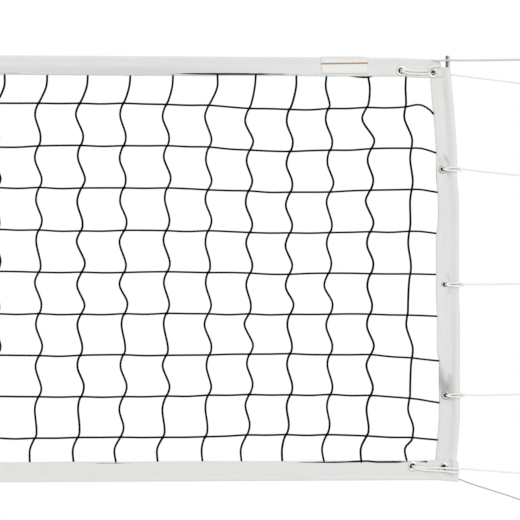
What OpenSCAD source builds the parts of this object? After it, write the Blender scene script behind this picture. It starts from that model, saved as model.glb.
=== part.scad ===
// Volleyball net on two telescoping floor-bolted posts.
// Millimetres, Z up. The origin is on the floor, midway between the posts.
// X runs along the net, the net hangs in the plane y = 0.

/* [Net] */
// Length of the net over its side bands
net_length = 9730; // [8800:10:10000]
// Height of the net's top edge above the floor
net_top = 2430; // [2400:5:2440]
// Height of the net from its top edge to its bottom edge
net_height = 1026; // [980:2:1040]
// Distance from the net's end to the centre of each post
post_gap = 385; // [340:5:535]

/* [Bands] */
// Height of the top band
top_band_h = 46; // [40:1:60]
// Height of the bottom band
bottom_band_h = 48; // [44:1:60]
// Width of each side band
side_band_w = 50; // [46:1:60]
// Thickness of the doubled band, netting edge included
band_t = 5; // [4:0.5:6]
// Thickness of one layer of band cloth round a cable or dowel
cloth_t = 1.2; // [0.8:0.1:2]
// How far the side band's top stays below the net's top edge
side_band_drop = 24; // [16:1:30]
// How far the top band stops short of the side band's outer edge
top_band_setback = 41; // [38:1:44]
// Width of the bare patch sewn on the top band
label_w = 116; // [60:1:160]
// Height of the patch
label_h = 32; // [20:1:32]
// Thickness of the patch
label_t = 0.8; // [0.5:0.1:1.5]
// Distance from the net's end to the middle of the patch
label_inset = 277; // [240:1:600]

/* [Netting] */
// Thickness of the netting cord
cord_t = 3.5; // [2.5:0.5:4.5]
// Spacing of the upright cords
mesh_x = 210; // [200:5:260]
// Spacing of the level cords
mesh_z = 200; // [190:5:260]
// Distance from the top edge down to the first level cord
first_row = 216; // [160:2:230]
// Swing of an upright cord to each side between two knots
cord_swing = 11; // [4:1:20]

/* [Grommets] */
// Outer radius of the corner grommets
corner_grommet_r = 12; // [11:0.5:13]
// Hole radius of the corner grommets
corner_hole_r = 7; // [6.5:0.5:8]
// Outer radius of the side grommets
side_grommet_r = 10; // [9:0.5:11]
// Hole radius of the side grommets
side_hole_r = 5; // [4.5:0.5:6]
// Distance from the net's end to the inner grommet of the top band
top_grommet_far = 140; // [130:1:150]
// Distance from the net's end to the outer grommet of the top band
top_grommet_near = 62; // [60:1:66]
// Distance from the net's end to the inner grommet of the bottom band
bottom_grommet_far = 112; // [100:1:130]
// Distance from the net's end to the outer grommet of the bottom band
bottom_grommet_near = 36; // [34:1:38]
// Distance from the net's end to the side grommets
side_grommet_inset = 36; // [34:1:38]
// How far the upper side grommet is below the net's top edge
upper_drop = 271; // [240:1:300]
// How far the middle side grommet is below the net's top edge
middle_drop = 551; // [520:1:580]
// How far the lower side grommet is below the net's top edge
lower_drop = 820; // [790:1:850]
// Thickness of a grommet's flange
flange_t = 1.2; // [0.8:0.1:1.4]

/* [Ropes and cables] */
// Diameter of the coated cable in the top band
top_cable_d = 5; // [4:0.5:5.5]
// Diameter of the thin cable in the bottom band
bottom_cable_d = 3; // [2:0.5:4]
// Diameter of the tie ropes
rope_d = 4.5; // [4:0.5:5]
// Radius of a rope knot
knot_r = 6; // [5.5:0.5:7]
// Radius of the side dowels
dowel_r = 5.5; // [4.5:0.5:6]
// How far a dowel stands above the net's top edge
dowel_rise = 2; // [2:1:12]

/* [Posts] */
// Outer radius of the inner post tube
inner_r = 38.1; // [36:0.1:39]
// Outer radius of the outer post tube
outer_r = 44.45; // [44:0.05:47]
// Wall of both post tubes
tube_wall = 3; // [2.5:0.1:3.2]
// Height of the outer post's top above the floor
outer_top = 800; // [740:5:800]
// How far the inner post's top stays below the net's top edge
head_rise = 90; // [80:5:110]
// Height of the inner post's lower end above the floor
inner_foot = 250; // [240:5:300]
// Height of the guide collar above the outer post
collar_h = 50; // [44:1:56]
// Outer radius of the guide collar
collar_r = 50; // [48:0.5:52]
// Radius of the height knob over its lobes
knob_r = 24; // [20:1:28]

/* [Base] */
// Side of the square base plate
plate_w = 400; // [380:5:460]
// Thickness of the base plate
plate_t = 12; // [8:1:20]
// Spacing of the floor bolt holes, both ways
bolt_pitch = 320; // [280:5:330]
// Radius of the floor bolt holes
bolt_hole_r = 7; // [5:0.5:9]
// Height of the welded socket above the plate
socket_h = 100; // [60:5:140]

/* [Post heads] */
// Radius at which the cable runs round the sheave
sheave_run_r = 30; // [29:0.5:32]
// Width of the sheave
sheave_w = 12; // [10:0.5:14]
// Radius of the sheave axle
axle_r = 5; // [4:0.5:6]
// Radius of the anchor pin on the other post
anchor_r = 6; // [5:0.5:7]
// Thickness of a head's cheek
cheek_t = 6; // [4:0.5:8]

/* [Line eyes] */
// Radius of an eye bolt's ring, to the middle of its wire
eye_r = 12; // [11:0.5:14]
// Radius of the wire of an eye bolt
eye_wire_r = 3; // [2.5:0.5:3.5]
// Radius of an eye bolt's shank
shank_r = 4; // [3:0.5:5]
// Distance from the post's face to the middle of an eye
eye_reach = 18; // [17:0.5:24]

// How far the upper tie falls from its grommet to its eye
upper_fall = 29; // [20:1:40]
// How far the middle tie rises to its eye
middle_rise = 6; // [0:1:20]
// How far the lower tie rises to its eye
lower_rise = 5; // [0:1:20]
// Height of the lower lashing's eye above the net's bottom edge
lash_eye_rise = 6; // [4:1:16]
// How far the thin cable's eye is below the net's bottom edge
cable_eye_drop = 108; // [100:2:140]

/* [Winch] */
// How far the drum's axis is below the net's top edge
winch_drop = 1130; // [1110:5:1140]
// Radius of the drum's core
drum_core_r = 20; // [18:0.5:22]
// Radius of the drum's flanges
drum_flange_r = 40; // [36:0.5:40]
// Clear width between the drum's flanges
drum_w = 24; // [23:0.5:26]
// Turns of cable left on the drum
drum_turns = 3; // [2:1:3]
// Radius of the drum axle and of the crank shaft
shaft_r = 6; // [5:0.5:7]
// Module of the winch gears
gear_module = 2.5; // [2.2:0.1:2.6]
// Teeth of the drum gear
gear_teeth = 36; // [30:1:36]
// Teeth of the crank pinion
pinion_teeth = 15; // [14:1:17]
// Width of the drum gear
gear_w = 8; // [6:0.5:8]
// Length of the crank arm between its centres
crank_len = 150; // [120:5:170]
// Length of the crank grip
grip_len = 100; // [80:5:105]
// Radius of the crank grip
grip_r = 14; // [12:0.5:17]

/* [Hidden] */
$fn = 48;

// clearances
seat = 0.1;            // between pieces that sit tight in each other
run_gap = 0.05;        // radial, a shaft turning in its bore
slide_gap = 0.1;       // radial, the inner post in its guide collar
clear = 0.3;           // between curved faces that only pass each other
through = 1;           // overshoot of a cutting shape past a face

// net
net_half = net_length / 2;
net_bottom = net_top - net_height;
inner_half = net_half - side_band_w;
band_half_t = band_t / 2;
cable_play = 0.5;      // radial, a cable inside its hem
top_hem_r = top_cable_d / 2 + cable_play + cloth_t;
bottom_hem_r = bottom_cable_d / 2 + cable_play + cloth_t;
top_cable_z = net_top - top_hem_r;
bottom_cable_z = net_bottom + bottom_hem_r;
top_band_end = net_half - top_band_setback;
sleeve_r = dowel_r + clear + cloth_t;
edge_seam = 1;         // cloth outside the dowel's sleeve
dowel_x = net_half - sleeve_r - edge_seam;
dowel_foot = net_bottom + 2 * bottom_hem_r + cloth_t + 3;

// grommets, as distance in from the net's end and height
corner_top_z = net_top - top_band_h + corner_grommet_r + 1.5;
corner_bottom_z = net_bottom + bottom_band_h - corner_grommet_r - 0.8;
top_grommet_insets = [top_grommet_far, top_grommet_near];
bottom_grommet_insets = [bottom_grommet_far, bottom_grommet_near];
upper_z = net_top - upper_drop;
middle_z = net_top - middle_drop;
lower_z = net_top - lower_drop;

// netting
edge_cell = 60;        // least width of the cell beside a side band
half_columns = floor((inner_half - edge_cell) / mesh_x + 0.5);
columns = 2 * half_columns;
rows = floor((net_height - bottom_band_h - first_row - edge_cell) / mesh_z) + 1;
net_floor = net_bottom + bottom_band_h;
net_ceiling = net_top - top_band_h;

// posts
post_x = net_half + post_gap;
inner_top = net_top - head_rise;
inner_bore_r = inner_r - tube_wall;
outer_bore_r = outer_r - tube_wall;
collar_bore_r = inner_r + slide_gap;
collar_skirt = 40;
knob_z = outer_top + collar_h / 2;
knob_screw_r = 5;
boss_r = 12;
boss_reach = collar_r + 12;
knob_w = 18;
foot_lip = 12;
foot_spigot = 30;
socket_wall = 5.5;
gusset_t = 8;
gusset_reach = 150;
plate_corner_r = 40;

// line eyes: the heights at which the lines meet the post
eye_x = post_x - inner_r - eye_reach;
eye_wire_x = eye_x - eye_r;
head_floor_t = 14;
top_lash_eye_z = inner_top + head_floor_t / 2;
upper_eye_z = upper_z - upper_fall;
middle_eye_z = middle_z + middle_rise;
lower_eye_z = lower_z + lower_rise;
bottom_lash_eye_z = net_bottom + lash_eye_rise;
bottom_cable_eye_z = net_bottom - cable_eye_drop;
post_eye_heights = [upper_eye_z, middle_eye_z, lower_eye_z, bottom_lash_eye_z, bottom_cable_eye_z];
head_thread = 14;      // how deep the top eye is screwed into the head

// post heads
head_spigot = 40;
sheave_x = post_x + 14;
sheave_z = net_top - sheave_run_r;
groove_r = sheave_run_r - top_cable_d / 2 - clear;
sheave_r = sheave_run_r + 4;
cheek_in = sheave_w / 2 + 1;
cheek_out = cheek_in + cheek_t;
cheek_r = sheave_r + 3;
cheek_neck = inner_r - 10;
anchor_cheek_r = anchor_r + 10;
anchor_x = post_x + 8;
anchor_z = net_top;
loop_r = anchor_r + top_cable_d / 2 + clear;
strand_gap = 0.6;      // between the two strands inside the ferrule
strand_z = (top_cable_d + strand_gap) / 2;
ferrule_far = anchor_x - 18;
ferrule_near = anchor_x - 42;

// winch, its axes on the outer side of the right post
plate_gap = 0.4;       // from the post to the winch's flat back plate
back_t = 5;
back_x = post_x + inner_r + plate_gap;
gear_pitch_r = gear_module * gear_teeth / 2;
pinion_pitch_r = gear_module * pinion_teeth / 2;
addendum = 0.85 * gear_module;
dedendum = 1.2 * gear_module;
backlash = 0.35;
winch_z = net_top - winch_drop;
winch_x = back_x + back_t + gear_pitch_r + addendum + 4;
crank_z = winch_z - gear_pitch_r - pinion_pitch_r;
flange_w = 3;
hub_w = 2;
drum_in = drum_w / 2;
drum_out = drum_in + flange_w;
gear_y = -drum_out - hub_w - gear_w;
side_t = 4;
front_plate_y = gear_y - 2 - side_t;
rear_plate_y = drum_out + 6;
bush_r = 12;
frame_edge_r = 24;
frame_low = crank_z - 60;
frame_high = winch_z + 65;
u_rod_r = 4;
u_bend_r = inner_r + clear + u_rod_r;
u_bolt_heights = [frame_low + 15, frame_high - 15];
frame_half_y = u_bend_r + 9;
nut_t = 6;
hub_front = front_plate_y - 2;
hub_back_y = hub_front - 21;
brake_r = 24;
arm_t = 6;
arm_y = -frame_half_y - 11;
spindle_r = 5;
grip_gap = 1;
wind_pitch = top_cable_d + 0.6;
wind_r = drum_core_r + top_cable_d / 2 + clear;
wind_y = -drum_turns * wind_pitch / 2;
stop_t = 4;

// sweeps
rope_sides = 8;
winding_sides = 6;
loop_rings = 24;
rope_r = rope_d / 2;
rope_gap = 0.15;       // half the gap of two strands inside a knot
strand_y = rope_r + rope_gap;
rope_face = band_half_t + flange_t + rope_r + clear;
rope_sleeve = sleeve_r + rope_r + clear + 0.1;
band_knot_x = net_half + 8;
eye_knot_x = eye_wire_x - 16;

function unit(v) = v / norm(v);

// direction of a path at point i
function heading(path, i) =
    i == 0 ? unit(path[1] - path[0])
    : i == len(path) - 1 ? unit(path[i] - path[i - 1])
    : unit(unit(path[i + 1] - path[i]) + unit(path[i] - path[i - 1]));

// one ring of points round the path at point i
function ring_at(path, i, r, sides, up) =
    let (t = heading(path, i), a = unit(cross(up, t)), b = cross(t, a))
    [for (k = [0:sides - 1]) path[i] + r * (cos(k * 360 / sides) * a + sin(k * 360 / sides) * b)];

// the two triangles between side k of ring a and ring b
function side_faces(a, b, n, k) =
    let (m = (k + 1) % n)
    [[a[k], b[k], b[m]], [a[k], b[m], a[m]]];

function skin(a, b) = let (n = len(a)) [for (k = [0:n - 1]) each side_faces(a, b, n, k)];
function reversed(list) = [for (k = [len(list) - 1:-1:0]) list[k]];
function indices(first, n) = [for (k = [0:n - 1]) first + k];

// a round tube swept along a path
module tube(path, r, sides = rope_sides, up = [0, 0, 1]) {
    count = len(path);
    points = [for (i = [0:count - 1]) each ring_at(path, i, r, sides, up)];
    walls = [
        for (i = [0:count - 2])
            each skin(indices(i * sides, sides), indices((i + 1) * sides, sides))
    ];
    ends = [indices(0, sides), reversed(indices((count - 1) * sides, sides))];
    polyhedron(points, concat(ends, walls));
}

module on_side(s) {
    mirror([s < 0 ? 1 : 0, 0, 0]) children();
}

// an outline in (y, z) drawn out along X
module along_x(x0, x1) {
    translate([x0, 0, 0]) rotate([90, 0, 90]) linear_extrude(x1 - x0) children();
}

// an outline in (x, z) drawn out along Y
module along_y(y0, y1) {
    translate([0, y1, 0]) rotate([90, 0, 0]) linear_extrude(y1 - y0) children();
}

module rod_x(x0, x1, r, y = 0, z = 0) {
    translate([x0, y, z]) rotate([0, 90, 0]) cylinder(h = x1 - x0, r = r);
}

module rod_y(y0, y1, r, x = 0, z = 0) {
    translate([x, y1, z]) rotate([90, 0, 0]) cylinder(h = y1 - y0, r = r);
}

module post_tube(z0, z1, outer, bore) {
    translate([post_x, 0, z0]) difference() {
        cylinder(h = z1 - z0, r = outer, $fn = 96);
        translate([0, 0, -through]) cylinder(h = z1 - z0 + 2 * through, r = bore, $fn = 96);
    }
}

// ---------- base ----------

module plate_outline() {
    straight = plate_w / 2 - plate_corner_r;
    square([plate_w, 2 * straight], center = true);
    square([2 * straight, plate_w], center = true);
    for (a = [-1, 1], b = [-1, 1]) translate([a * straight, b * straight]) circle(plate_corner_r);
}

module gusset() {
    root = outer_r + seat + socket_wall / 2;
    rotate([90, 0, 0]) translate([0, 0, -gusset_t / 2]) linear_extrude(gusset_t)
        polygon([
            [root, plate_t], [gusset_reach, plate_t], [gusset_reach, plate_t + 12],
            [root + 8, plate_t + socket_h - 10], [root, plate_t + socket_h - 10]
        ]);
}

module base_plate() {
    color("#3c3f42") difference() {
        translate([post_x, 0, 0]) union() {
            linear_extrude(plate_t) plate_outline();
            cylinder(h = plate_t + socket_h, r = outer_r + seat + socket_wall);
            for (a = [0:90:270]) rotate([0, 0, a]) gusset();
        }
        translate([post_x, 0, plate_t]) cylinder(h = socket_h + through, r = outer_r + seat);
        for (a = [-1, 1], b = [-1, 1])
            translate([post_x + a * bolt_pitch / 2, b * bolt_pitch / 2, -through])
                cylinder(h = plate_t + 2 * through, r = bolt_hole_r);
    }
}

module outer_post() {
    color("#b9bcbf") post_tube(plate_t, outer_top, outer_r, outer_bore_r);
}

module guide_collar() {
    color("#2b2d30") difference() {
        union() {
            translate([post_x, 0, outer_top]) cylinder(h = collar_h, r = collar_r, $fn = 96);
            translate([post_x, 0, outer_top - collar_skirt])
                cylinder(h = collar_skirt, r = outer_bore_r - seat, $fn = 96);
            rod_x(post_x, post_x + boss_reach, boss_r, z = knob_z);
        }
        translate([post_x, 0, outer_top - collar_skirt - through])
            cylinder(h = collar_h + collar_skirt + 2 * through, r = collar_bore_r, $fn = 96);
        rod_x(post_x, post_x + boss_reach + through, knob_screw_r + run_gap, z = knob_z);
    }
}

module height_knob() {
    start = post_x + boss_reach + 0.5;
    lobes = 6;
    color("#1d1e20") union() {
        rod_x(post_x + inner_r + clear, start + through, knob_screw_r, z = knob_z);
        translate([0, 0, knob_z]) along_x(start, start + knob_w) difference() {
            circle(knob_r);
            for (k = [1:lobes]) rotate(k * 360 / lobes) translate([knob_r + 3, 0]) circle(7);
        }
        rod_x(start + knob_w, start + knob_w + 4, knob_r / 2, z = knob_z);
    }
}

// ---------- the sliding upper part ----------

module inner_post() {
    color("#c9ccce") difference() {
        post_tube(inner_foot, inner_top, inner_r, inner_bore_r);
        for (z = post_eye_heights) rod_x(eye_x, post_x, shank_r + seat, z = z);
    }
}

module glide_foot() {
    color("#26282a") translate([post_x, 0, 0]) difference() {
        union() {
            translate([0, 0, inner_foot - foot_lip]) cylinder(h = foot_lip, r = outer_bore_r - 2 * slide_gap);
            translate([0, 0, inner_foot]) cylinder(h = foot_spigot, r = inner_bore_r - seat);
        }
        translate([0, 0, inner_foot - foot_lip - through])
            cylinder(h = foot_lip + foot_spigot + 2 * through, r = inner_bore_r - 8);
    }
}

// a cast cap in the post's top with two cheeks, neck to each side, for a cross pin
module head(pin_x, pin_z, pin_r, cheek_round, neck_low, neck_high) {
    cheek_base = inner_top + head_floor_t;
    color("#3c3f42") difference() {
        union() {
            translate([post_x, 0, inner_top]) cylinder(h = head_floor_t, r = inner_r);
            translate([post_x, 0, inner_top - head_spigot])
                cylinder(h = head_spigot, r = inner_bore_r - seat);
            for (y = [-cheek_out, cheek_in]) along_y(y, y + cheek_t) {
                translate([pin_x, pin_z]) circle(cheek_round);
                translate([neck_low, cheek_base - 2]) square([neck_high - neck_low, pin_z - cheek_base + 2]);
            }
        }
        rod_y(-cheek_out - through, cheek_out + through, pin_r + seat, pin_x, pin_z);
        rod_x(eye_x, post_x - inner_r + head_thread + seat, shank_r + seat, z = top_lash_eye_z);
        translate([post_x, 0, inner_top - head_spigot - through])
            cylinder(h = head_spigot, r = inner_bore_r - 8);
    }
}

module cross_pin(pin_x, pin_z, pin_r) {
    color("#c2c4c6") union() {
        rod_y(-cheek_out - 4, cheek_out + 3, pin_r, pin_x, pin_z);
        rod_y(-cheek_out - 5 - seat, -cheek_out - seat, pin_r + 3, pin_x, pin_z);
        rod_y(cheek_out + seat, cheek_out + 2 + seat, pin_r + 2.5, pin_x, pin_z);
    }
}

module sheave() {
    half = sheave_w / 2;
    groove_half = top_cable_d / 2 + 0.7;
    groove_flat = top_cable_d / 3;
    color("#dcdcd8") translate([sheave_x, 0, sheave_z]) rotate([90, 0, 0]) rotate_extrude($fn = 96)
        polygon([
            [axle_r + run_gap, -half], [14, -half], [17, -half + 2], [groove_r - 4, -half + 2],
            [groove_r, -half], [sheave_r, -half], [sheave_r, -half + 1],
            [groove_r + 2, -groove_half], [groove_r, -groove_flat], [groove_r, groove_flat],
            [groove_r + 2, groove_half], [sheave_r, half - 1], [sheave_r, half],
            [groove_r, half], [groove_r - 4, half - 2], [17, half - 2], [14, half],
            [axle_r + run_gap, half]
        ]);
}

module eye_bolt(z, shank_end) {
    translate([eye_x, 0, z]) rotate([90, 0, 0]) rotate_extrude() translate([eye_r, 0]) circle(eye_wire_r);
    rod_x(eye_x + eye_r, shank_end, shank_r, z = z);
    rod_x(post_x - inner_r - clear - 2.5, post_x - inner_r - clear, shank_r + 4, z = z);
}

module eye_bolts() {
    nut_r = shank_r + 3;
    nut_x = post_x - sqrt(pow(inner_bore_r, 2) - pow(nut_r, 2)) + seat;
    color("#c2c4c6") {
        eye_bolt(top_lash_eye_z, post_x - inner_r + head_thread);
        for (z = post_eye_heights) {
            eye_bolt(z, nut_x + nut_t);
            translate([nut_x, 0, z]) rotate([0, 90, 0]) cylinder(h = nut_t - 1, r = nut_r, $fn = 6);
        }
    }
}

// ---------- winch ----------

module frame_outline() {
    tab_x = winch_x - 30;
    cheek_x = winch_x - frame_edge_r + 9;
    edge_x = winch_x + frame_edge_r;
    low = crank_z - frame_edge_r;
    high = winch_z + frame_edge_r;
    bevel = 12;
    polygon([
        [back_x, frame_low], [tab_x, frame_low], [cheek_x, low], [edge_x - bevel, low],
        [edge_x, low + bevel], [edge_x, high - bevel], [edge_x - bevel, high],
        [cheek_x, high], [tab_x, frame_high], [back_x, frame_high]
    ]);
}

module winch_frame() {
    saddle_y = 26;
    saddle_reach = 12;
    frame_h = frame_high - frame_low;
    color("#7d8286") difference() {
        union() {
            translate([back_x, -frame_half_y, frame_low]) cube([back_t, 2 * frame_half_y, frame_h]);
            for (y = [front_plate_y, rear_plate_y]) along_y(y, y + side_t) frame_outline();
            for (z = u_bolt_heights)
                translate([back_x - saddle_reach, -saddle_y, z - 10])
                    cube([saddle_reach + through, 2 * saddle_y, 20]);
        }
        translate([post_x, 0, frame_low - through])
            cylinder(h = frame_h + 2 * through, r = inner_r + clear, $fn = 96);
        for (z = [crank_z, winch_z])
            rod_y(front_plate_y - through, rear_plate_y + side_t + through, shaft_r + run_gap, winch_x, z);
        for (z = u_bolt_heights, s = [-1, 1])
            rod_x(back_x - through, back_x + back_t + through, u_rod_r + seat, s * u_bend_r, z);
    }
}

module winch_u_bolts() {
    leg_end = back_x + back_t + nut_t + 3;
    color("#c2c4c6") for (z = u_bolt_heights) translate([post_x, 0, z]) {
        rotate([0, 0, 90]) rotate_extrude(angle = 180) translate([u_bend_r, 0]) circle(u_rod_r);
        for (s = [-1, 1]) {
            rod_x(0, leg_end - post_x, u_rod_r, s * u_bend_r);
            translate([back_x + back_t - post_x, s * u_bend_r, 0]) rotate([0, 90, 0])
                cylinder(h = nut_t, r = u_rod_r + 3.5, $fn = 6);
        }
    }
}

module drum_axle() {
    rear = rear_plate_y + side_t + seat;
    color("#c2c4c6") union() {
        rod_y(front_plate_y - 3, rear + nut_t + 2, shaft_r, winch_x, winch_z);
        rod_y(front_plate_y - 5, front_plate_y - seat, shaft_r + 3.5, winch_x, winch_z);
        translate([winch_x, rear + nut_t, winch_z]) rotate([90, 0, 0])
            cylinder(h = nut_t, r = shaft_r + 4, $fn = 6);
    }
}

module drum() {
    stop_y = wind_y + drum_turns * wind_pitch;
    stop_half = top_cable_d / 2 + 0.3;
    stop_top = winch_z - top_cable_d;
    color("#8d9296") difference() {
        union() {
            rod_y(-drum_out, drum_out, drum_core_r, winch_x, winch_z);
            rod_y(-drum_out, -drum_in, drum_flange_r, winch_x, winch_z);
            rod_y(drum_in, drum_out, drum_flange_r, winch_x, winch_z);
            rod_y(-drum_out - hub_w, -drum_out, bush_r + 2, winch_x, winch_z);
            rod_y(drum_out, rear_plate_y - 0.5, bush_r, winch_x, winch_z);
            translate([winch_x - wind_r - stop_half, stop_y - stop_half, stop_top - stop_t])
                cube([wind_r + stop_half - drum_core_r / 2, 2 * stop_half, stop_t]);
        }
        rod_y(-drum_out - hub_w - through, rear_plate_y, shaft_r + run_gap, winch_x, winch_z);
    }
}

// involute gear outline, one tooth centred on the angle phase
function involute(angle_tan) = angle_tan * 180 / PI - atan(angle_tan);
function roll_tan(r, base) = r <= base ? 0 : sqrt(pow(r / base, 2) - 1);
function half_tooth(r, pitch, base, teeth) =
    90 / teeth - backlash / 2 / pitch * 180 / PI
    + involute(roll_tan(pitch, base)) - involute(roll_tan(r, base));

module gear_outline(teeth, phase) {
    pitch = gear_module * teeth / 2;
    base = pitch * cos(20);
    root = pitch - dedendum;
    tip = pitch + addendum;
    low = max(root + 0.4, min(base, pitch));
    radii = [root, low, (low + pitch) / 2, pitch, (pitch + tip) / 2, tip];
    polygon([
        for (k = [0:teeth - 1], s = [-1, 1])
            let (list = s < 0 ? radii : reversed(radii))
            for (r = list)
                let (a = phase + k * 360 / teeth + s * half_tooth(r, pitch, base, teeth))
                [r * cos(a), r * sin(a)]
    ]);
}

module drum_gear() {
    web_holes = 5;
    web_r = (gear_pitch_r + bush_r) / 2;
    color("#6c7175") along_y(gear_y, gear_y + gear_w) translate([winch_x, winch_z]) difference() {
        gear_outline(gear_teeth, 270);
        circle(shaft_r + 0.5);
        for (k = [1:web_holes]) rotate(k * 360 / web_holes) translate([web_r, 0]) circle(7);
    }
}

function winding_path() = concat(
    [[winch_x - wind_r, wind_y, winch_z + top_cable_d]],
    [for (k = [0:drum_turns * loop_rings])
        let (a = 180 + k * 360 / loop_rings)
        [winch_x + wind_r * cos(a), wind_y + wind_pitch * k / loop_rings, winch_z + wind_r * sin(a)]],
    [[winch_x - wind_r, wind_y + drum_turns * wind_pitch, winch_z - top_cable_d]]
);

// least distance between points of the winding that are half a turn or more apart
function winding_gap() =
    let (path = winding_path(), n = len(path), apart = loop_rings / 2)
    min([for (i = [0:n - apart - 1], j = [i + apart:n - 1]) norm(path[i] - path[j])]) - top_cable_d;

module drum_winding() {
    echo(winding_least_gap = winding_gap());
    color("#9b9d9f") tube(winding_path(), top_cable_d / 2, winding_sides, [0, 1, 0]);
}

module pinion() {
    color("#6c7175") along_y(gear_y - 0.5, gear_y + gear_w + 0.5) translate([winch_x, crank_z]) difference() {
        gear_outline(pinion_teeth, 90 + 180 / pinion_teeth);
        circle(shaft_r + seat);
    }
}

module crank_shaft() {
    rear = rear_plate_y + side_t;
    color("#c2c4c6") union() {
        rod_y(arm_y - 2, rear + 4, shaft_r, winch_x, crank_z);
        rod_y(rear + seat, rear + 3, shaft_r + 3, winch_x, crank_z);
        translate([winch_x, arm_y - seat, crank_z]) rotate([90, 0, 0])
            cylinder(h = nut_t, r = shaft_r + 4, $fn = 6);
    }
}

module brake_hub() {
    notches = 16;
    color("#4a4e52") difference() {
        union() {
            along_y(hub_back_y, hub_back_y + 12) translate([winch_x, crank_z]) difference() {
                circle(brake_r);
                for (k = [1:notches]) rotate(k * 360 / notches) translate([brake_r + 1.2, 0]) circle(2.4);
            }
            rod_y(hub_back_y + 12, hub_front, brake_r - 5, winch_x, crank_z);
        }
        rod_y(hub_back_y - through, hub_front + through, shaft_r + seat, winch_x, crank_z);
    }
}

module crank_arm() {
    eye_low = 12;
    eye_high = 16;
    color("#b4b7ba") along_y(arm_y, arm_y + arm_t) translate([winch_x, crank_z]) difference() {
        union() {
            circle(eye_high);
            translate([0, -crank_len]) circle(eye_low);
            translate([-9, -crank_len]) square([18, crank_len]);
        }
        circle(shaft_r + seat);
        translate([0, -crank_len]) circle(spindle_r + seat);
    }
}

module grip_spindle() {
    spindle_z = crank_z - crank_len;
    grip_end = arm_y - grip_gap - grip_len;
    color("#c2c4c6") union() {
        rod_y(grip_end - grip_gap, arm_y + arm_t + 4, spindle_r, winch_x, spindle_z);
        rod_y(grip_end - grip_gap - 4, grip_end - grip_gap, spindle_r + 4, winch_x, spindle_z);
        rod_y(arm_y + arm_t + seat, arm_y + arm_t + 3, spindle_r + 3, winch_x, spindle_z);
    }
}

module crank_grip() {
    neck = grip_r - 2;
    color("#1d1e20") translate([winch_x, arm_y - grip_gap, crank_z - crank_len]) rotate([90, 0, 0])
        rotate_extrude() polygon([
            [spindle_r + run_gap, 0], [neck, 0], [grip_r, 4], [grip_r - 1, grip_len / 3],
            [grip_r, grip_len * 2 / 3], [grip_r, grip_len - 6], [neck, grip_len],
            [spindle_r + run_gap, grip_len]
        ]);
}

// ---------- bands ----------

module corner_hole(inset, z) {
    barrel = corner_hole_r + 1 + seat;
    rod_y(-2 * band_t, 2 * band_t, barrel, net_half - inset, z);
}

module top_band() {
    color("#e2e2e0") difference() {
        along_x(-top_band_end, top_band_end) difference() {
            union() {
                translate([-band_half_t, net_top - top_band_h]) square([band_t, top_band_h - top_hem_r]);
                translate([0, top_cable_z]) circle(top_hem_r);
            }
            translate([0, top_cable_z]) circle(top_cable_d / 2 + cable_play);
        }
        for (s = [-1, 1], inset = top_grommet_insets) on_side(s) corner_hole(inset, corner_top_z);
    }
}

module bottom_band() {
    pocket_low = dowel_foot - cloth_t;
    color("#e2e2e0") difference() {
        union() {
            along_x(-net_half, net_half) {
                translate([-band_half_t, bottom_cable_z]) square([band_t, bottom_band_h - bottom_hem_r]);
                translate([0, bottom_cable_z]) circle(bottom_hem_r);
            }
            for (s = [-1, 1]) translate([s * dowel_x, 0, pocket_low])
                cylinder(h = net_floor - pocket_low, r = sleeve_r);
        }
        rod_x(-net_half - through, net_half + through, bottom_cable_d / 2 + cable_play, z = bottom_cable_z);
        for (s = [-1, 1]) {
            translate([s * dowel_x, 0, dowel_foot - seat]) cylinder(h = bottom_band_h, r = dowel_r + clear);
            for (inset = bottom_grommet_insets) on_side(s) corner_hole(inset, corner_bottom_z);
        }
    }
}

module side_band() {
    side_top = net_top - side_band_drop;
    color("#e2e2e0") difference() {
        union() {
            translate([inner_half, -band_half_t, net_floor])
                cube([dowel_x - inner_half, band_t, net_ceiling - net_floor]);
            translate([top_band_end + clear, -band_half_t, net_floor])
                cube([dowel_x - top_band_end - clear, band_t, side_top - net_floor]);
            translate([dowel_x, 0, net_floor]) cylinder(h = side_top - net_floor, r = sleeve_r);
        }
        translate([dowel_x, 0, net_floor - through])
            cylinder(h = side_top - net_floor + 2 * through, r = dowel_r + clear);
        for (z = [upper_z, middle_z, lower_z])
            rod_y(-2 * band_t, 2 * band_t, side_hole_r + 1 + seat, net_half - side_grommet_inset, z);
    }
}

module dowel() {
    color("#9a9c9a") translate([dowel_x, 0, dowel_foot])
        cylinder(h = net_top + dowel_rise - dowel_foot, r = dowel_r);
}

module label_patch() {
    low = net_top - top_band_h + 4;
    color("#ececea") translate([net_half - label_inset - label_w / 2, -band_half_t - label_t, low])
        cube([label_w, label_t, min(label_h, top_cable_z - top_hem_r - low)]);
}

module grommet(inset, z, outer, hole) {
    half = band_half_t;
    face = half + flange_t;
    edge = 0.5;
    translate([net_half - inset, 0, z]) rotate([90, 0, 0]) rotate_extrude() polygon([
        [hole, -face], [outer - edge, -face], [outer, -face + edge], [outer, -half], [hole + 1, -half],
        [hole + 1, half], [outer, half], [outer, face - edge], [outer - edge, face], [hole, face]
    ]);
}

module grommets() {
    color("#b5b6b4") {
        for (inset = top_grommet_insets) grommet(inset, corner_top_z, corner_grommet_r, corner_hole_r);
        for (inset = bottom_grommet_insets) grommet(inset, corner_bottom_z, corner_grommet_r, corner_hole_r);
        for (z = [upper_z, middle_z, lower_z]) grommet(side_grommet_inset, z, side_grommet_r, side_hole_r);
    }
}

// ---------- netting: one skin over every cord and knot ----------

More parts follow.
